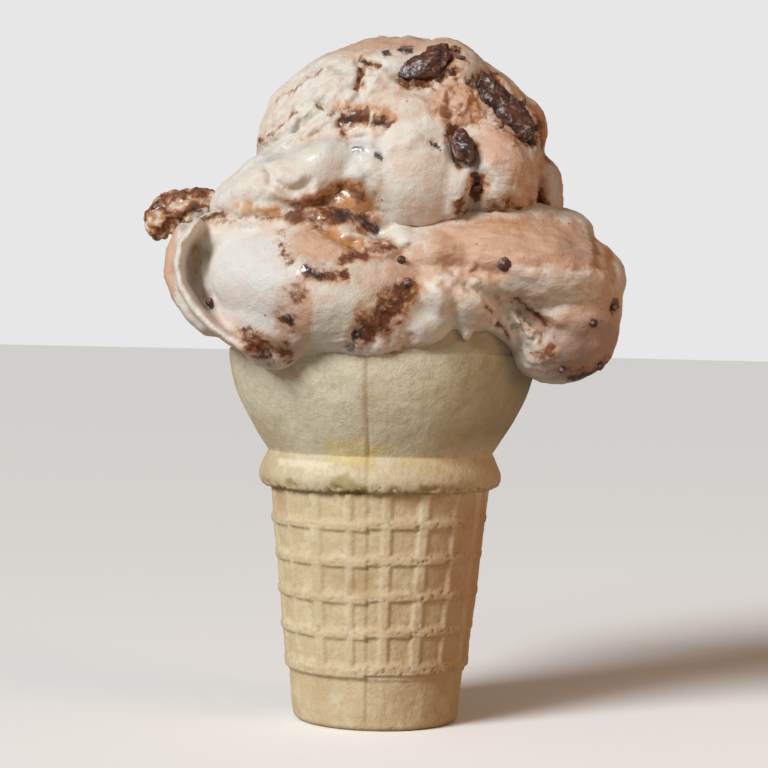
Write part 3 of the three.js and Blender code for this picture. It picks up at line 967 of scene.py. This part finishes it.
# %% Lower scoop: lobes
LOWER_LOBES = [
    ((-5.4, 3, 93.8), (34.0, 34.5, 15.6), (0, 4, 0)),
    ((-11.2, -17, 89.8), (26.4, 24, 14.8), (4, 6, 4)),
    ((-18.8, -17.5, 83.0), (17.2, 19.5, 8.6), (0, 6, 10)),
    ((-4, -20.5, 84.2), (15, 17.8, 8.6), (0, 0, 0)),
    ((-22, -25.5, 78.4), (6.2, 7.0, 5.0), (0, 8, 0)),
    ((-3, -29.0, 80.4), (8.5, 6.4, 4.4), (0, -3, 0)),
    ((6.5, -27.5, 82.4), (7.0, 7.0, 4.4), (0, -8, 0)),
    ((13, -18, 89.2), (16, 17.6, 8.4), (0, 0, 0)),
    ((23, -9, 96.6), (27, 24, 11), (0, 9, -12)),
    ((10, -17, 97.0), (14, 16, 6.6), (0, 6, 0)),
    ((31, -6, 102.0), (12, 17, 6.0), (0, -6, 0)),
    ((35.4, -9, 86.4), (13.4, 18.6, 14.8), (0, -14, 0)),
    ((37, -10, 93.0), (12.2, 17, 6.6), (0, 8, -8)),
    ((35.5, -12, 80.6), (11.8, 14.5, 9.0), (0, 0, 0)),
    ((-34.2, -9.5, 90.4), (7.6, 15, 12.5), (0, -30, -14)),
    ((25.4, -17.5, 84.6), (10.0, 10.5, 4.6), (0, 36, 0)),
    ((16.2, -27.7, 81.2), (1.1, 1.7, 1.6), (0, 0, 0)),
    ((-15, -16, 103.0), (24, 14.5, 4.8), (0, -2, 0)),
    ((20, -13, 104.0), (17, 13, 4.4), (0, -4, 0)),
    ((-30, -12, 99.0), (11, 16, 6.2), (0, 6, 0)),
    ((-6, 6, 101), (30, 28, 8), (0, 0, 0)),
    ((0, 0, 73), (28.5, 28.5, 13.5), (0, 0, 0)),
]
INNER_SHELL = [
    (-37.6, -21, 101.4), (-40.0, -23, 97.6), (-40.7, -23.4, 93.4), (-39.6, -24.4, 89.2),
    (-37.0, -25.6, 85.2), (-33.4, -27.0, 81.6), (-29.0, -28.2, 78.8), (-25.0, -29.2, 77.0),
]
OUTER_SHELL = [
    (-41.6, -14, 100.4), (-43.2, -14.8, 96.0), (-43.2, -15.8, 91.4), (-41.4, -17.0, 87.2),
    (-38.4, -18.6, 83.4), (-34.6, -20.4, 80.2),
]
LOWER_LOBES += curl(INNER_SHELL, 1.25, 9.0, 2.4) + curl(OUTER_SHELL, 1.25, 9.0, 2.4)
lower = fuse("lower_ice_cream", LOWER_LOBES, 0.8, 2)

# %% Lower scoop: shells, ledges and the torn side
FLAP = [
    (-5.2, 96.6), (-3.2, 98.6), (-1, 100), (1.2, 101.6), (3.8, 102.8), (5.4, 100), (3.2, 97.2),
    (0, 95.4), (-3, 95),
]
UPPER_LEDGE = [
    (21, 92.8), (27, 93.8), (33, 94), (40, 93.8), (46.8, 91.6), (48.6, 88.4), (43, 87.8),
    (33, 87.4), (27, 87), (22.2, 89.6),
]
BULB = [
    (26.6, 86.0), (33, 87.0), (41, 86.8), (48.6, 84), (50, 78), (45, 73), (36, 71), (29.6, 73.2),
    (28.2, 77.2), (32.6, 79.2), (34.4, 81.6), (30.6, 84.2),
]
WHITE_FLAP = [
    (15.6, 89), (19.6, 88.8), (22.6, 85.6), (25, 81.8), (26.6, 78.4), (24, 79.4), (20, 81.2),
    (15.6, 81.8), (13.8, 85),
]
DRIP = [
    (-28.6, 80.4), (-24.4, 82), (-18.4, 80.6), (-14, 78.6), (-16.4, 75.2), (-20, 73.4),
    (-24.4, 73.8), (-28.4, 76.6),
]
BEIGE_PATCH = [
    (-20.6, 101.4), (-13, 102), (-7, 100.4), (-5.4, 97), (-7.2, 94.2), (-13, 93.8), (-17.4, 94.8),
    (-19.8, 97.4),
]

# The two cracks of the torn side: the short one near the front and the long one.
SHORT_CRACK = [(19.6, 88.2), (22.4, 84.2), (24.8, 80.4)]
LONG_CRACK = [(24.8, 89.4), (29.0, 86.2), (32.4, 83.6), (34.8, 81.4)]


def torn_area(skin):
    """1 where the side is torn open, 0 elsewhere."""
    near, far = skin.spot(25.0, 84.6, 7.0, 4.6), skin.spot(31.2, 79.6, 5.0, 4.0)
    return np.maximum.reduce([near, far, 0.8 * skin.spot(15, 92.5, 6, 4)])


skin = Skin(lower, 0.75)
front = skin.facing(-1)
skin.fold([(-35.6, 101.0), (-35.9, 96.0), (-35.4, 91.5), (-34.0, 87.4), (-31.6, 84.0)][::-1], 1.4, 1.2)
skin.plate(FLAP, 1.5, (1, 99))
skin.plate(UPPER_LEDGE, 1.7, (34, 88))
skin.plate(BULB, 1.2, (36, 84))
skin.plate(WHITE_FLAP, 1.4, (24, 82))
skin.plate(DRIP, 1.2, (-21, 74))
skin.plate(BEIGE_PATCH, 0.45, (-12, 95))
skin.ridge([(-6.4, 104.2), (-3.4, 102.4), (-0.4, 100.2)], 0.9, -1.5)
skin.fold([(-13.5, 103.0), (-9.5, 101.2), (-5.5, 99.2), (-2.6, 98.6)], 1.8, 1.5)
skin.ridge([(-12.5, 100.6), (-8.0, 98.8), (-4.0, 97.6)], 0.9, -1.2)
skin.ridge([(-20.5, 97.6), (-12, 95.6), (-4.0, 96.4), (3.5, 97.2), (9, 99.4)], 1.5, -0.6)
skin.ridge([(-17.0, 93.4), (-12.5, 92.8), (-7.5, 92.6)], 1.1, 0.9)
skin.ridge([(10.0, 91.0), (11.2, 86.4), (10.4, 82.2)], 1.3, 0.9)
skin.ridge([(12.8, 91.5), (13.4, 87.0), (13.2, 82.8)], 1.0, -0.7)
skin.ridge([(13.0, 91.4), (17.0, 90.4), (21.6, 88.6), (24.0, 85.2), (27.0, 81.0), (27.6, 77.8)], 0.8, -2.4)
skin.ridge([(20.0, 90.2), (25.0, 86.4), (30.0, 82.6), (34.0, 79.8)], 2.4, -1.3)
skin.step([(21.4, 91.0), (25.0, 89.2), (29.2, 86.0), (33.6, 83.8), (36.6, 82.0)], 1.5, 1.7)
skin.step([(28.6, 77.4), (26.6, 80.4), (24.0, 84.4), (20.0, 88.0), (17.4, 89.6)], 1.3, 1.5)
skin.ridge([(22.0, 87.6), (27.0, 84.0), (31.6, 80.8)], 0.5, 0.8)
skin.ridge(SHORT_CRACK, 0.8, -1.3)
skin.ridge(LONG_CRACK, 0.9, -1.5)
skin.ridge([(22.4, 93.4), (32.6, 94.2), (40.1, 93.8), (46.6, 91.6)], 1.1, 1.2)
skin.fold([(41.2, 103.4), (41.4, 98.0), (40.8, 94.4)][::-1], 2.0, 1.6)
skin.ridge([(45.4, 99.4), (46.4, 95.0), (45.0, 91.6)], 0.9, -1.2)
skin.ridge([(8.0, 98.6), (16.0, 95.8), (22.0, 95.0), (32.0, 97.4), (40.0, 97.0)], 1.4, 0.7)
skin.ridge([(10.0, 96.0), (18.0, 93.6), (24.0, 94.6)], 1.2, -0.8)
torn = torn_area(skin)
ragged_edge = skin.spot(-1, 79.5, 11, 3.6)
smear_pit = np.maximum(skin.spot(1.6, 86.0, 4.2, 5.6), skin.spot(-3, 81.6, 3.6, 2.4))
streaks = np.maximum(skin.spot(24, 99, 20, 6), 0.8 * skin.spot(38, 92, 12, 10))
skin.push += torn * (0.9 * ridged(skin.points, 3.4, 52, 4) - 0.3)
skin.push += skin.spot(30.6, 78.4, 4.2, 3.6) * (1.2 * skin.crumbs(2.4, 58) - 0.2)
skin.push += ragged_edge * (0.7 * skin.crumbs(3.4, 53) + 0.4 * ridged(skin.points, 3.0, 57, 3) - 0.5)
skin.push += smear_pit * (0.9 * ridged(skin.points, 2.8, 54, 3) - 0.9)
skin.push += 0.5 * streaks * rough(skin.points / [4.0, 4.0, 1.0], 1.8, 51, 3)
behind = ease(skin.points[:, 1], 2, 14)
skin.push += 1.2 * behind * skin.flakes(6.5, 8)
calm = 1 - 0.9 * np.maximum(ease(-skin.points[:, 0], 30, 35), 0.8 * skin.spot(-26, 90, 10, 10))
swell = (0.5 - 0.15 * front) * rough(skin.points, 8, 55, 2)
skin.push += calm * (swell + 0.16 * rough(skin.points, 2.6, 56, 3))
skin.ridge([(34, 98), (16, 92), (0, 96), (-18, 91), (-36, 96)], 2.2, -1.8, side=1)
skin.fold([(36, 90), (20, 86), (2, 89), (-16, 84.5), (-32, 88)], 3.0, 1.4, side=1)
skin.apply()
reskin(lower, 0.54, 1)
print("lower scoop strokes, mm:", round(float(skin.push.min()), 1), round(float(skin.push.max()), 1))

# %% Lower scoop: stains and fine skin
skin = Skin(lower, 0.9)
front = skin.facing(-1)
behind = 1 - ease(-skin.normals[:, 1], -0.15, 0.2)
swirl_noise = rough(skin.points / [2.2, 2.2, 1.0], 6.0, 66, 4)
tanning = ease(rough(skin.points, 11, 67, 3), -0.1, 0.5)

fudge, halo = skin.smears([
    ([(-5.0, 80.8), (-2.0, 82.6), (0.8, 84.6), (2.8, 87.4), (5.4, 90.4)], 2.6, 1.0),
    ([(-1.6, 86.4), (1.0, 86.0)], 1.8, 0.9),
    ([(-6.6, 80.2), (-3.0, 81.2), (1.4, 82.6)], 1.4, 1.0),
    ([(-9.4, 95.6), (-5.0, 96.4), (-1.0, 97.8), (1.0, 96.8)], 1.6, 0.95),
    ([(-17.2, 92.6), (-12.0, 92.2), (-6.2, 92.4)], 1.3, 1.0),
    ([(-27.0, 82.6), (-26.2, 79.6), (-22.4, 76.8), (-17.0, 77.0)], 1.7, 0.95),
    ([(-15.8, 91.0), (-17.6, 87.0), (-18.8, 83.0), (-17.4, 79.6)], 2.4, 0.5),
    ([(-18.6, 84.2), (-18.6, 82.0)], 1.6, 1.0),
    ([(-20.4, 101.4), (-20.2, 97.6), (-17.6, 94.0)], 1.2, 0.62),
    ([(-21.0, 104.4), (-12.6, 103.8), (-6.5, 104.2), (-1.0, 101.0)], 2.1, 1.0),
    ([(-38, 103.6), (-28, 103.8), (-20, 104.0)], 1.3, 0.65),
    ([(34.0, 79.4), (31.6, 77.6)], 1.2, 0.95),
    ([(29.4, 78.6), (32.0, 76.8)], 0.8, 0.8),
    ([(36.5, 72.4), (42.0, 73.4), (47.6, 77.2)], 1.8, 0.95),
    (LONG_CRACK, 0.6, 0.75),
    (SHORT_CRACK, 0.5, 0.6),
    ([(45.4, 86.0), (47.0, 88.6)], 1.4, 0.8),
])
orange, _ = skin.smears([
    ([(-4.6, 80.4), (-0.6, 83.6), (3.4, 87.2), (7.0, 92.0)], 3.6, 0.8),
    ([(3.6, 84.2), (5.6, 88.8)], 1.8, 0.9),
    ([(-12.4, 101.0), (-8.4, 99.2), (-4.2, 97.8)], 2.0, 1.0),
    ([(-24.0, 104.4), (-14.0, 104.2), (-5.0, 104.2)], 2.4, 0.8),
    ([(43.6, 101.4), (45.4, 95.0), (44.8, 91.5)], 2.4, 0.5),
    ([(-37.6, 99.4), (-38.0, 94.4), (-36.6, 89.4), (-34.0, 85.4)], 1.3, 0.5),
    ([(34.6, 79.6), (30.6, 77.4)], 2.0, 0.6),
    ([(16.0, 102.2), (26.0, 103.6), (36.0, 106.0)], 2.0, 0.5),
])
orange = np.maximum(orange, 0.72 * halo)
dark, _ = skin.smears([
    ([(-6.0, 80.6), (-4.0, 81.4)], 1.3, 1.0),
    ([(-16.4, 92.8), (-13.2, 92.3), (-10.4, 92.0)], 0.9, 0.9),
    ([(-18.6, 84.0), (-18.8, 82.2)], 1.2, 0.85),
    ([(-24.6, 77.0), (-20.8, 75.4)], 1.4, 0.6),
    ([(-6.0, 104.2), (-3.2, 102.4), (-0.6, 100.4)], 0.9, 1.0),
    ([(-11.0, 104.2), (-6.6, 104.2)], 0.9, 0.8),
    ([(3.0, 95.6), (3.4, 94.4)], 1.2, 0.75),
    ([(4.2, 91.8), (4.8, 90.2)], 1.5, 0.7),
    ([(36.5, 72.4), (41.0, 73.0), (46.6, 76.2)], 1.6, 0.95),
    ([(-7.4, 78.6), (-5.6, 77.6)], 1.3, 0.7),
    ([(45.8, 86.6), (46.6, 88.0)], 1.1, 0.85),
])
wet, _ = skin.smears([
    ([(-17.4, 93.6), (-13.4, 93.4), (-10.2, 92.6)], 1.9, 1.0),
    ([(-14.0, 104.2), (-7.0, 104.4)], 1.6, 1.0),
    ([(-6.0, 97.4), (-1.0, 96.4)], 1.2, 0.8),
    ([(0.2, 86.4), (3.0, 88.0)], 1.8, 1.0),
    ([(-3.4, 97.8), (0.2, 100.4)], 1.0, 0.8),
    ([(-10.0, 99.6), (-5.6, 98.6)], 1.4, 0.9),
])
wet = np.maximum(wet, 0.6 * dark)
# Painted shade: darkens the hanging bulb at the right, the drip at the left and a few hollows, which face
# away from the lamp.
cocoa = np.maximum.reduce([
    skin.spot(41, 78.5, 12, 8.5),
    0.5 * skin.spot(38.5, 99, 5, 4),
    0.3 * skin.spot(8, 84, 5, 4),
])
cocoa = np.maximum(cocoa, 0.55 * skin.spot(-19, 78, 8, 4)) * (0.75 + 0.25 * tanning)
bluish, _ = skin.smears([
    ([(-17.6, 93.8), (-9.6, 92.8)], 2.2, 0.9),
    ([(-21.0, 79.5), (-12.0, 79.0), (-4.0, 78.4)], 2.6, 0.6),
    ([(-18.0, 76.4), (-24.0, 74.6), (-29.0, 76.4)], 2.0, 0.9),
    ([(-12.0, 105.0), (-5.0, 104.8)], 1.4, 0.9),
    ([(-17.0, 87.0), (-18.6, 82.0)], 3.2, 0.5),
])
bluish = np.maximum(bluish, 0.65 * skin.spot(-26, 90, 11, 12))
tan_tint = np.maximum.reduce([
    1.0 * skin.spot(27, 98, 25, 9),
    1.0 * skin.spot(39, 84, 14, 15) * (0.75 + 0.25 * tanning),
    0.85 * skin.spot(-13, 97.6, 8.5, 5),
    0.75 * skin.spot(6, 95, 8, 5),
    0.6 * skin.spot(14, 90, 5, 5),
    1.0 * skin.spot(-17.6, 84, 5.0, 9),
    ease(-skin.points[:, 0], 40.5, 42.5),
    0.85 * skin.spot(-22, 77, 6, 4),
    behind * (0.35 + 0.5 * tanning),
    0.30 * tanning * front,
    0.75 * halo,
])
# Partly painted light: the crests and the face of the ledges on the right lobe are made paler where they
# catch the lamp; the other pale spots are whiter cream.
lit_crests, _ = skin.smears([
    ([(24.0, 94.0), (33.0, 94.2), (42.0, 93.6)], 1.2, 0.7),
    ([(27, 87), (38, 87.4)], 1.0, 0.6),
])
pale = np.maximum.reduce([
    0.7 * skin.spot(33, 91, 11, 3.6),
    skin.spot(30.8, 78.8, 4.6, 3.6),
    skin.spot(20.5, 85.0, 5.0, 4.0),
    0.8 * skin.spot(8, 86, 5, 5),
    lit_crests,
])
tan_tint *= 1 - 0.85 * pale
fudge = np.maximum(fudge, 0.75 * ease(swirl_noise, 0.12, 0.42) * behind)
orange = np.maximum(orange, 0.8 * ease(swirl_noise, 0.0, 0.4) * behind)
paint_stains_and_shade(lower, fudge=fudge, orange=orange, dark=dark, wet=wet, bluish=bluish, tan=tan_tint, cocoa=cocoa)
streaks = np.maximum(skin.spot(24, 99, 22, 7), skin.spot(38, 90, 14, 12))
paint(lower, "streaked", streaks + behind)
torn = torn_area(skin)
crumbly = np.maximum.reduce([
    torn,
    0.7 * skin.spot(-1, 79.5, 11, 3),
    0.5 * skin.spot(-13, 97, 8, 4.5),
    0.8 * fudge,
])
skin.push += 0.08 * rough(skin.points, 1.6, 61, 2) + 0.04 * rough(skin.points, 0.8, 62, 2)
skin.push += crumbly * (0.32 * ridged(skin.points, 1.7, 63, 3) - 0.14)
skin.push += 0.14 * streaks * rough(skin.points / [4, 4, 1], 1.0, 65, 2)
skin.ridge(SHORT_CRACK, 0.55, -0.8)
skin.ridge(LONG_CRACK, 0.6, -0.9)
skin.apply()
print("lower scoop: share of skin with fudge:", round(float((fudge > 0.4).mean()), 3))

# %% [markdown]
# ## Ice cream finish
# The white is not paper white: it is a warm cream that turns pink-tan where chocolate
# has bled into it and faintly blue where it is wet and thin. The stains painted on
# the skin say where each colour goes; noise then breaks their edges into specks
# and threads. A painted shade darkens the parts that face away from the lamp, such
# as the hanging lobe, and some lit crests are painted paler. Light enters the
# surface a little way, so the shader has some subsurface scattering, and melted
# spots get a clear coat.

# %% Stain group
stain = bpy.data.node_groups.new("ragged_stain", "ShaderNodeTree")
for name in ("Amount", "Break Up", "Raggedness"):
    stain.interface.new_socket(name=name, in_out="INPUT", socket_type="NodeSocketFloat")
stain.interface.new_socket(name="Mask", in_out="OUTPUT", socket_type="NodeSocketFloat")
stain_in = stain.nodes.new("NodeGroupInput")
stain_out = stain.nodes.new("NodeGroupOutput")
centred = calc(stain, "SUBTRACT", stain_in.outputs["Break Up"], 0.5)
torn_noise = calc(stain, "MULTIPLY", centred, stain_in.outputs["Raggedness"])
wanted = calc(stain, "ADD", stain_in.outputs["Amount"], torn_noise)
present = ramp(stain, stain_in.outputs["Amount"], 0.02, 0.2)
mask = calc(stain, "MULTIPLY", ramp(stain, wanted, 0.2, 0.95), present)
stain.links.new(mask, stain_out.inputs["Mask"])


def stained(tree, colour, name, break_up, raggedness, strength, shade):
    """Colour, turned to a shade where the stain painted under that name breaks through."""
    node = tree.nodes.new("ShaderNodeGroup")
    node.node_tree = stain
    node.inputs["Raggedness"].default_value = raggedness
    tree.links.new(attribute(tree, name), node.inputs["Amount"])
    tree.links.new(break_up, node.inputs["Break Up"])
    return tint(tree, colour, node.outputs["Mask"], strength, shade)


# %% Ice cream material
CREAM = (0.63, 0.59, 0.515)
PINKISH = (0.61, 0.485, 0.39)
TAN = (0.53, 0.31, 0.197)
ORANGE = (0.47, 0.205, 0.065)
FUDGE = (0.125, 0.036, 0.014)
DARK = (0.028, 0.021, 0.026)
BLUISH = (0.56, 0.57, 0.57)
ice_cream, tree, shader = new_material("ice_cream")
broad = noise_at(tree, 90, 4)
threads = noise_at(tree, 480, 7, 0.78, 0.8)
specks = noise_at(tree, 1900, 3, 0.6)
clouds = noise_at(tree, 360, 5, 0.64, 0.3)
marbled = calc(tree, "ADD", calc(tree, "MULTIPLY", clouds, 0.7), calc(tree, "MULTIPLY", threads, 0.3))
streaks = noise_at(tree, 800, 4, 0.65, 0.9, (0.28, 0.28, 1.0))
fine_blotches = calc(tree, "MULTIPLY", noise_at(tree, 300, 4), 0.4)
blotches = calc(tree, "ADD", calc(tree, "MULTIPLY", broad, 0.6), fine_blotches)
colour = blend(tree, ramp(tree, blotches, 0.46, 0.62), CREAM, PINKISH)
colour = stained(tree, colour, "tan", threads, 1.6, 0.9, TAN)
streak_mask = calc(tree, "MULTIPLY", ramp(tree, streaks, 0.45, 0.62), attribute(tree, "streaked"))
colour = tint(tree, colour, streak_mask, 0.26, (0.34, 0.185, 0.12))
pale_streaks = calc(tree, "MULTIPLY", ramp(tree, streaks, 0.46, 0.36), attribute(tree, "streaked"))
colour = tint(tree, colour, pale_streaks, 0.28, PINKISH)
# Painted shade: parts facing away from the lamp are turned towards a dull brown.
colour = tint(tree, colour, attribute(tree, "cocoa"), 0.8, (0.225, 0.15, 0.125))
colour = stained(tree, colour, "bluish", threads, 1.2, 0.62, BLUISH)
colour = stained(tree, colour, "orange", marbled, 2.2, 0.92, ORANGE)
colour = stained(tree, colour, "fudge", marbled, 4.4, 0.94, FUDGE)
colour = stained(tree, colour, "dark", threads, 2.4, 0.97, DARK)
seeds = add_node(tree, "TexVoronoi", Scale=270)
tree.links.new(add_node(tree, "TexCoord").outputs["Object"], seeds.inputs["Vector"])
picked = add_node(tree, "SeparateColor")
tree.links.new(seeds.outputs["Color"], picked.inputs["Color"])
dot_shape = ramp(tree, seeds.outputs["Distance"], 0.095, 0.055)
dots = calc(tree, "MULTIPLY", dot_shape, ramp(tree, picked.outputs[0], 0.60, 0.64))
colour = tint(tree, colour, dots, 0.75, (0.19, 0.08, 0.055))
colour = tint(tree, colour, ramp(tree, specks, 0.56, 0.8), 0.30, (0.44, 0.30, 0.22))
tree.links.new(colour, shader.inputs["Base Color"])
matt = calc(tree, "ADD", calc(tree, "MULTIPLY", noise_at(tree, 300, 3), 0.24), 0.42)
glossy = calc(tree, "SUBTRACT", matt, calc(tree, "MULTIPLY", attribute(tree, "wet"), 0.34))
tree.links.new(calc(tree, "MAXIMUM", glossy, 0.12), shader.inputs["Roughness"])
tree.links.new(attribute(tree, "wet"), shader.inputs["Coat Weight"])
shader.inputs["Coat Roughness"].default_value = 0.07
shader.inputs["Subsurface Weight"].default_value = 0.14
shader.inputs["Subsurface Radius"].default_value = (1.0, 0.6, 0.4)
shader.inputs["Subsurface Scale"].default_value = 0.0015
shader.inputs["Specular IOR Level"].default_value = 0.35
skin_height = calc(tree, "ADD", noise_at(tree, 700, 5, 0.66, 0.4), calc(tree, "MULTIPLY", specks, 0.6))
streak_height = calc(tree, "MULTIPLY", streaks, calc(tree, "MULTIPLY", attribute(tree, "streaked"), 0.9))
skin_height = calc(tree, "ADD", skin_height, streak_height)
tree.links.new(bump(tree, skin_height, 0.6, 0.0004), shader.inputs["Normal"])
finish_piece(upper, ice_cream, "ice_cream", "upper_scoop")
finish_piece(lower, ice_cream, "ice_cream", "lower_scoop")

# %% [markdown]
# ## Side lump, chunks and beads
# The lump at the left is a scrap of ice cream torn off with a ribbon of fudge
# through it. The chunks are dark chocolate that broke in the churn: hard, angular
# and wet, with smears of ice cream on them. The beads are small balls of the same
# chocolate. All are balls of clay, fused, broken up with noise and sanded flat.

# %% Side lump
side_lump = fuse(
    "side_lump_ice_cream",
    [
        ((-42.4, -1, 105.8), (7.4, 7, 4.4), (0, -8, 0)),
        ((-47.4, -1.5, 102.9), (3.4, 4.6, 3.6), (0, -30, 0)),
        ((-38.5, -2, 106.0), (5.4, 7, 4.3), (0, 0, 0)),
        ((-40.4, -4, 101.4), (3.8, 5.0, 3.2), (0, 20, 0)),
    ],
    0.42,
    2,
)
skin = Skin(side_lump, 0.6)
skin.push += 0.9 * rough(skin.points, 3.6, 71, 3) + 0.6 * ridged(skin.points, 3.0, 72, 3)
skin.push += 0.3 * skin.crumbs(1.3, 73) - 0.5
skin.apply()
reskin(side_lump, 0.34, 1)
skin = Skin(side_lump, 0.6)
ribbon = rough(skin.points / [1.6, 1.6, 1.0], 3.0, 74, 3)
top_smear, halo = skin.smears([([(-49, 105.6), (-44, 108.8), (-36, 109.4)], 1.8, 0.9)])
paint_stains_and_shade(
    side_lump,
    fudge=np.maximum(0.85 * ease(ribbon, 0.0, 0.35), top_smear),
    orange=np.maximum(0.9 * ease(ribbon, -0.3, 0.1), halo),
    dark=0.7 * ease(rough(skin.points, 2.4, 75, 2), 0.3, 0.5),
    wet=0.7 * ease(rough(skin.points, 2.4, 76, 2), 0.1, 0.4),
    bluish=0.7 * ease(-ribbon, 0.1, 0.4),
    tan=np.full(len(skin.points), 0.45),
    streaked=np.zeros(len(skin.points)),
    cocoa=np.zeros(len(skin.points)),
)
finish_piece(side_lump, ice_cream, "fudge_swirl", "side_lump")

# %% Chocolate material
chocolate, tree, shader = new_material("dark_chocolate")
bloom = ramp(tree, noise_at(tree, 420, 4), 0.35, 0.7)
colour = blend(tree, bloom, (0.028, 0.010, 0.007), (0.115, 0.034, 0.018))
frost = noise_at(tree, 380, 6, 0.78, 1.0)
smears = calc(tree, "MULTIPLY", ramp(tree, frost, 0.51, 0.60), 0.75)
colour = tint(tree, colour, smears, attribute(tree, "smeared"), (0.46, 0.42, 0.41))
tree.links.new(colour, shader.inputs["Base Color"])
shader.inputs["Roughness"].default_value = 0.42
shader.inputs["Coat Weight"].default_value = 0.3
shader.inputs["Coat Roughness"].default_value = 0.22
tree.links.new(bump(tree, noise_at(tree, 700, 5, 0.7), 0.6, 0.0004), shader.inputs["Normal"])

# %% Chocolate chunks


def chunk(name, node, lobes, smeared, seed, cuts=22):
    """A broken piece of chocolate from fused balls; lobes are (place, radii, turn)."""
    obj = fuse(name, lobes, 0.32, 1)
    skin = Skin(obj, 0)
    middle = skin.points.mean(0)
    points = skin.points - middle + skin.normals * (0.4 * rough(skin.points, 3.0, seed, 2))[:, None]
    for number in range(cuts):
        up = 1 - 2 * (number + 0.5) / cuts
        turn = 2.4 * number + seed
        level = math.sqrt(1 - up * up)
        way = np.array([level * math.cos(turn), level * math.sin(turn), up])
        reach = points @ way
        limit = np.quantile(reach, 0.90 - 0.04 * (number % 3))
        points -= np.maximum(reach - limit, 0)[:, None] * way * 0.85
    skin.shift = points + middle - skin.points
    skin.push += 0.4 * rough(skin.points, 3.0, seed + 2, 3) + 0.10 * ridged(skin.points, 1.4, seed + 1, 3)
    skin.apply()
    paint(obj, "smeared", smeared * ease(rough(skin.points, 3.2, seed + 3, 2), -0.25, 0.2))
    finish_piece(obj, chocolate, "dark_chocolate", node)


chunk(
    "top_chunk",
    "chunk_top",
    [
        ((2.2, -20.6, 131.9), (5.2, 3.4, 2.3), (0, -8, 0)),
        ((7.6, -20.4, 134.2), (6.0, 3.8, 3.6), (0, -30, 0)),
        ((11.2, -18.2, 137.2), (4.6, 3.8, 3.7), (0, -50, 0)),
    ],
    0.9,
    81,
)
chunk(
    "side_chunk",
    "chunk_side",
    [
        ((17.2, -18.2, 133.8), (4.2, 3.6, 3.3), (0, 42, 14)),
        ((20.8, -19.4, 129.6), (5.6, 3.4, 3.6), (0, 50, 14)),
        ((25.0, -18.4, 124.8), (5.8, 3.6, 4.4), (0, 48, 14)),
        ((28.2, -16.6, 119.6), (5.4, 3.8, 3.6), (0, 68, 14)),
    ],
    1.0,
    84,
)
chunk(
    "front_chunk",
    "chunk_front",
    [
        ((13.2, -29.4, 120.6), (2.8, 2.4, 2.1), (0, 56, 0)),
        ((14.8, -29.8, 117.7), (3.2, 2.6, 2.9), (0, 60, 0)),
        ((16.3, -29.4, 114.9), (2.6, 2.3, 2.2), (0, 70, 0)),
    ],
    1.0,
    87,
)

# %% Chocolate beads
BEADS_ON_UPPER = 103
FLECKS_ON_UPPER = 101
BEADS = [
    ((23.3, 95.2), 1.6),
    ((3.2, 95.4), 0.8),
    ((4.5, 91.0), 1.0),
    ((41.4, 84.0), 0.85),
    ((35.7, 74.6), 0.8),
    ((-34.4, 86.4), 0.8),
    ((9.3, 118.2), 0.45),
]
lower_points, upper_points = points_of(lower), points_of(upper)


def front_depth(spot_x, spot_z, reach, split):
    """How far forward a scoop's skin comes at a spot: the upper scoop's from height split up."""
    host = lower_points if spot_z < split else upper_points
    near = np.hypot(host[:, 0] - spot_x, host[:, 2] - spot_z) < reach
    return host[near, 1].min()


beads_shape = bmesh.new()
for number, ((bead_x, bead_z), radius) in enumerate(BEADS):
    depth = front_depth(bead_x, bead_z, 1.0, BEADS_ON_UPPER)
    ball = bmesh.ops.create_icosphere(beads_shape, subdivisions=4, radius=radius * MM)
    place = Vector((bead_x, depth + 0.62 * radius, bead_z)) * MM
    squash = Matrix.Diagonal((1.05, 0.9, 0.95 + 0.04 * (number % 3), 1))
    bmesh.ops.transform(beads_shape, matrix=Matrix.Translation(place) @ squash, verts=ball["verts"])
FLECKS = [
    ((14.2, 136.6), 0.8), ((13.0, 138.6), 0.6), ((12.4, 133.4), 0.7), ((15.6, 131.6), 0.7),
    ((18.6, 128.2), 0.6), ((22.4, 122.6), 0.6), ((30.2, 123.4), 0.8), ((27.4, 128.6), 0.7),
    ((12.2, 122.4), 0.4), ((17.6, 110.0), 0.9), ((14.8, 105.0), 0.5), ((-18.6, 83.6), 0.8),
    ((-5.2, 80.8), 0.7), ((-14.4, 92.8), 0.5), ((43.6, 75.4), 0.8), ((46.2, 87.4), 0.8),
]
for number, ((fleck_x, fleck_z), radius) in enumerate(FLECKS):
    depth = front_depth(fleck_x, fleck_z, 1.2, FLECKS_ON_UPPER)
    bit = bmesh.ops.create_icosphere(beads_shape, subdivisions=2, radius=radius * MM)
    place = Vector((fleck_x, depth + 0.7 * radius, fleck_z)) * MM
    lie = Euler((number * 1.3, number * 2.1, number * 0.7)).to_matrix().to_4x4()
    shape = Matrix.Diagonal((1.25, 0.8, 0.6 + 0.1 * (number % 4), 1))
    bmesh.ops.transform(beads_shape, matrix=Matrix.Translation(place) @ lie @ shape, verts=bit["verts"])
beads = object_from("chocolate_beads", beads_shape)
skin = Skin(beads, 0)
skin.push += 0.2 * rough(skin.points, 0.9, 91, 3)
skin.apply()
paint(beads, "smeared", np.full(len(skin.points), 0.35))
finish_piece(beads, chocolate, "dark_chocolate")
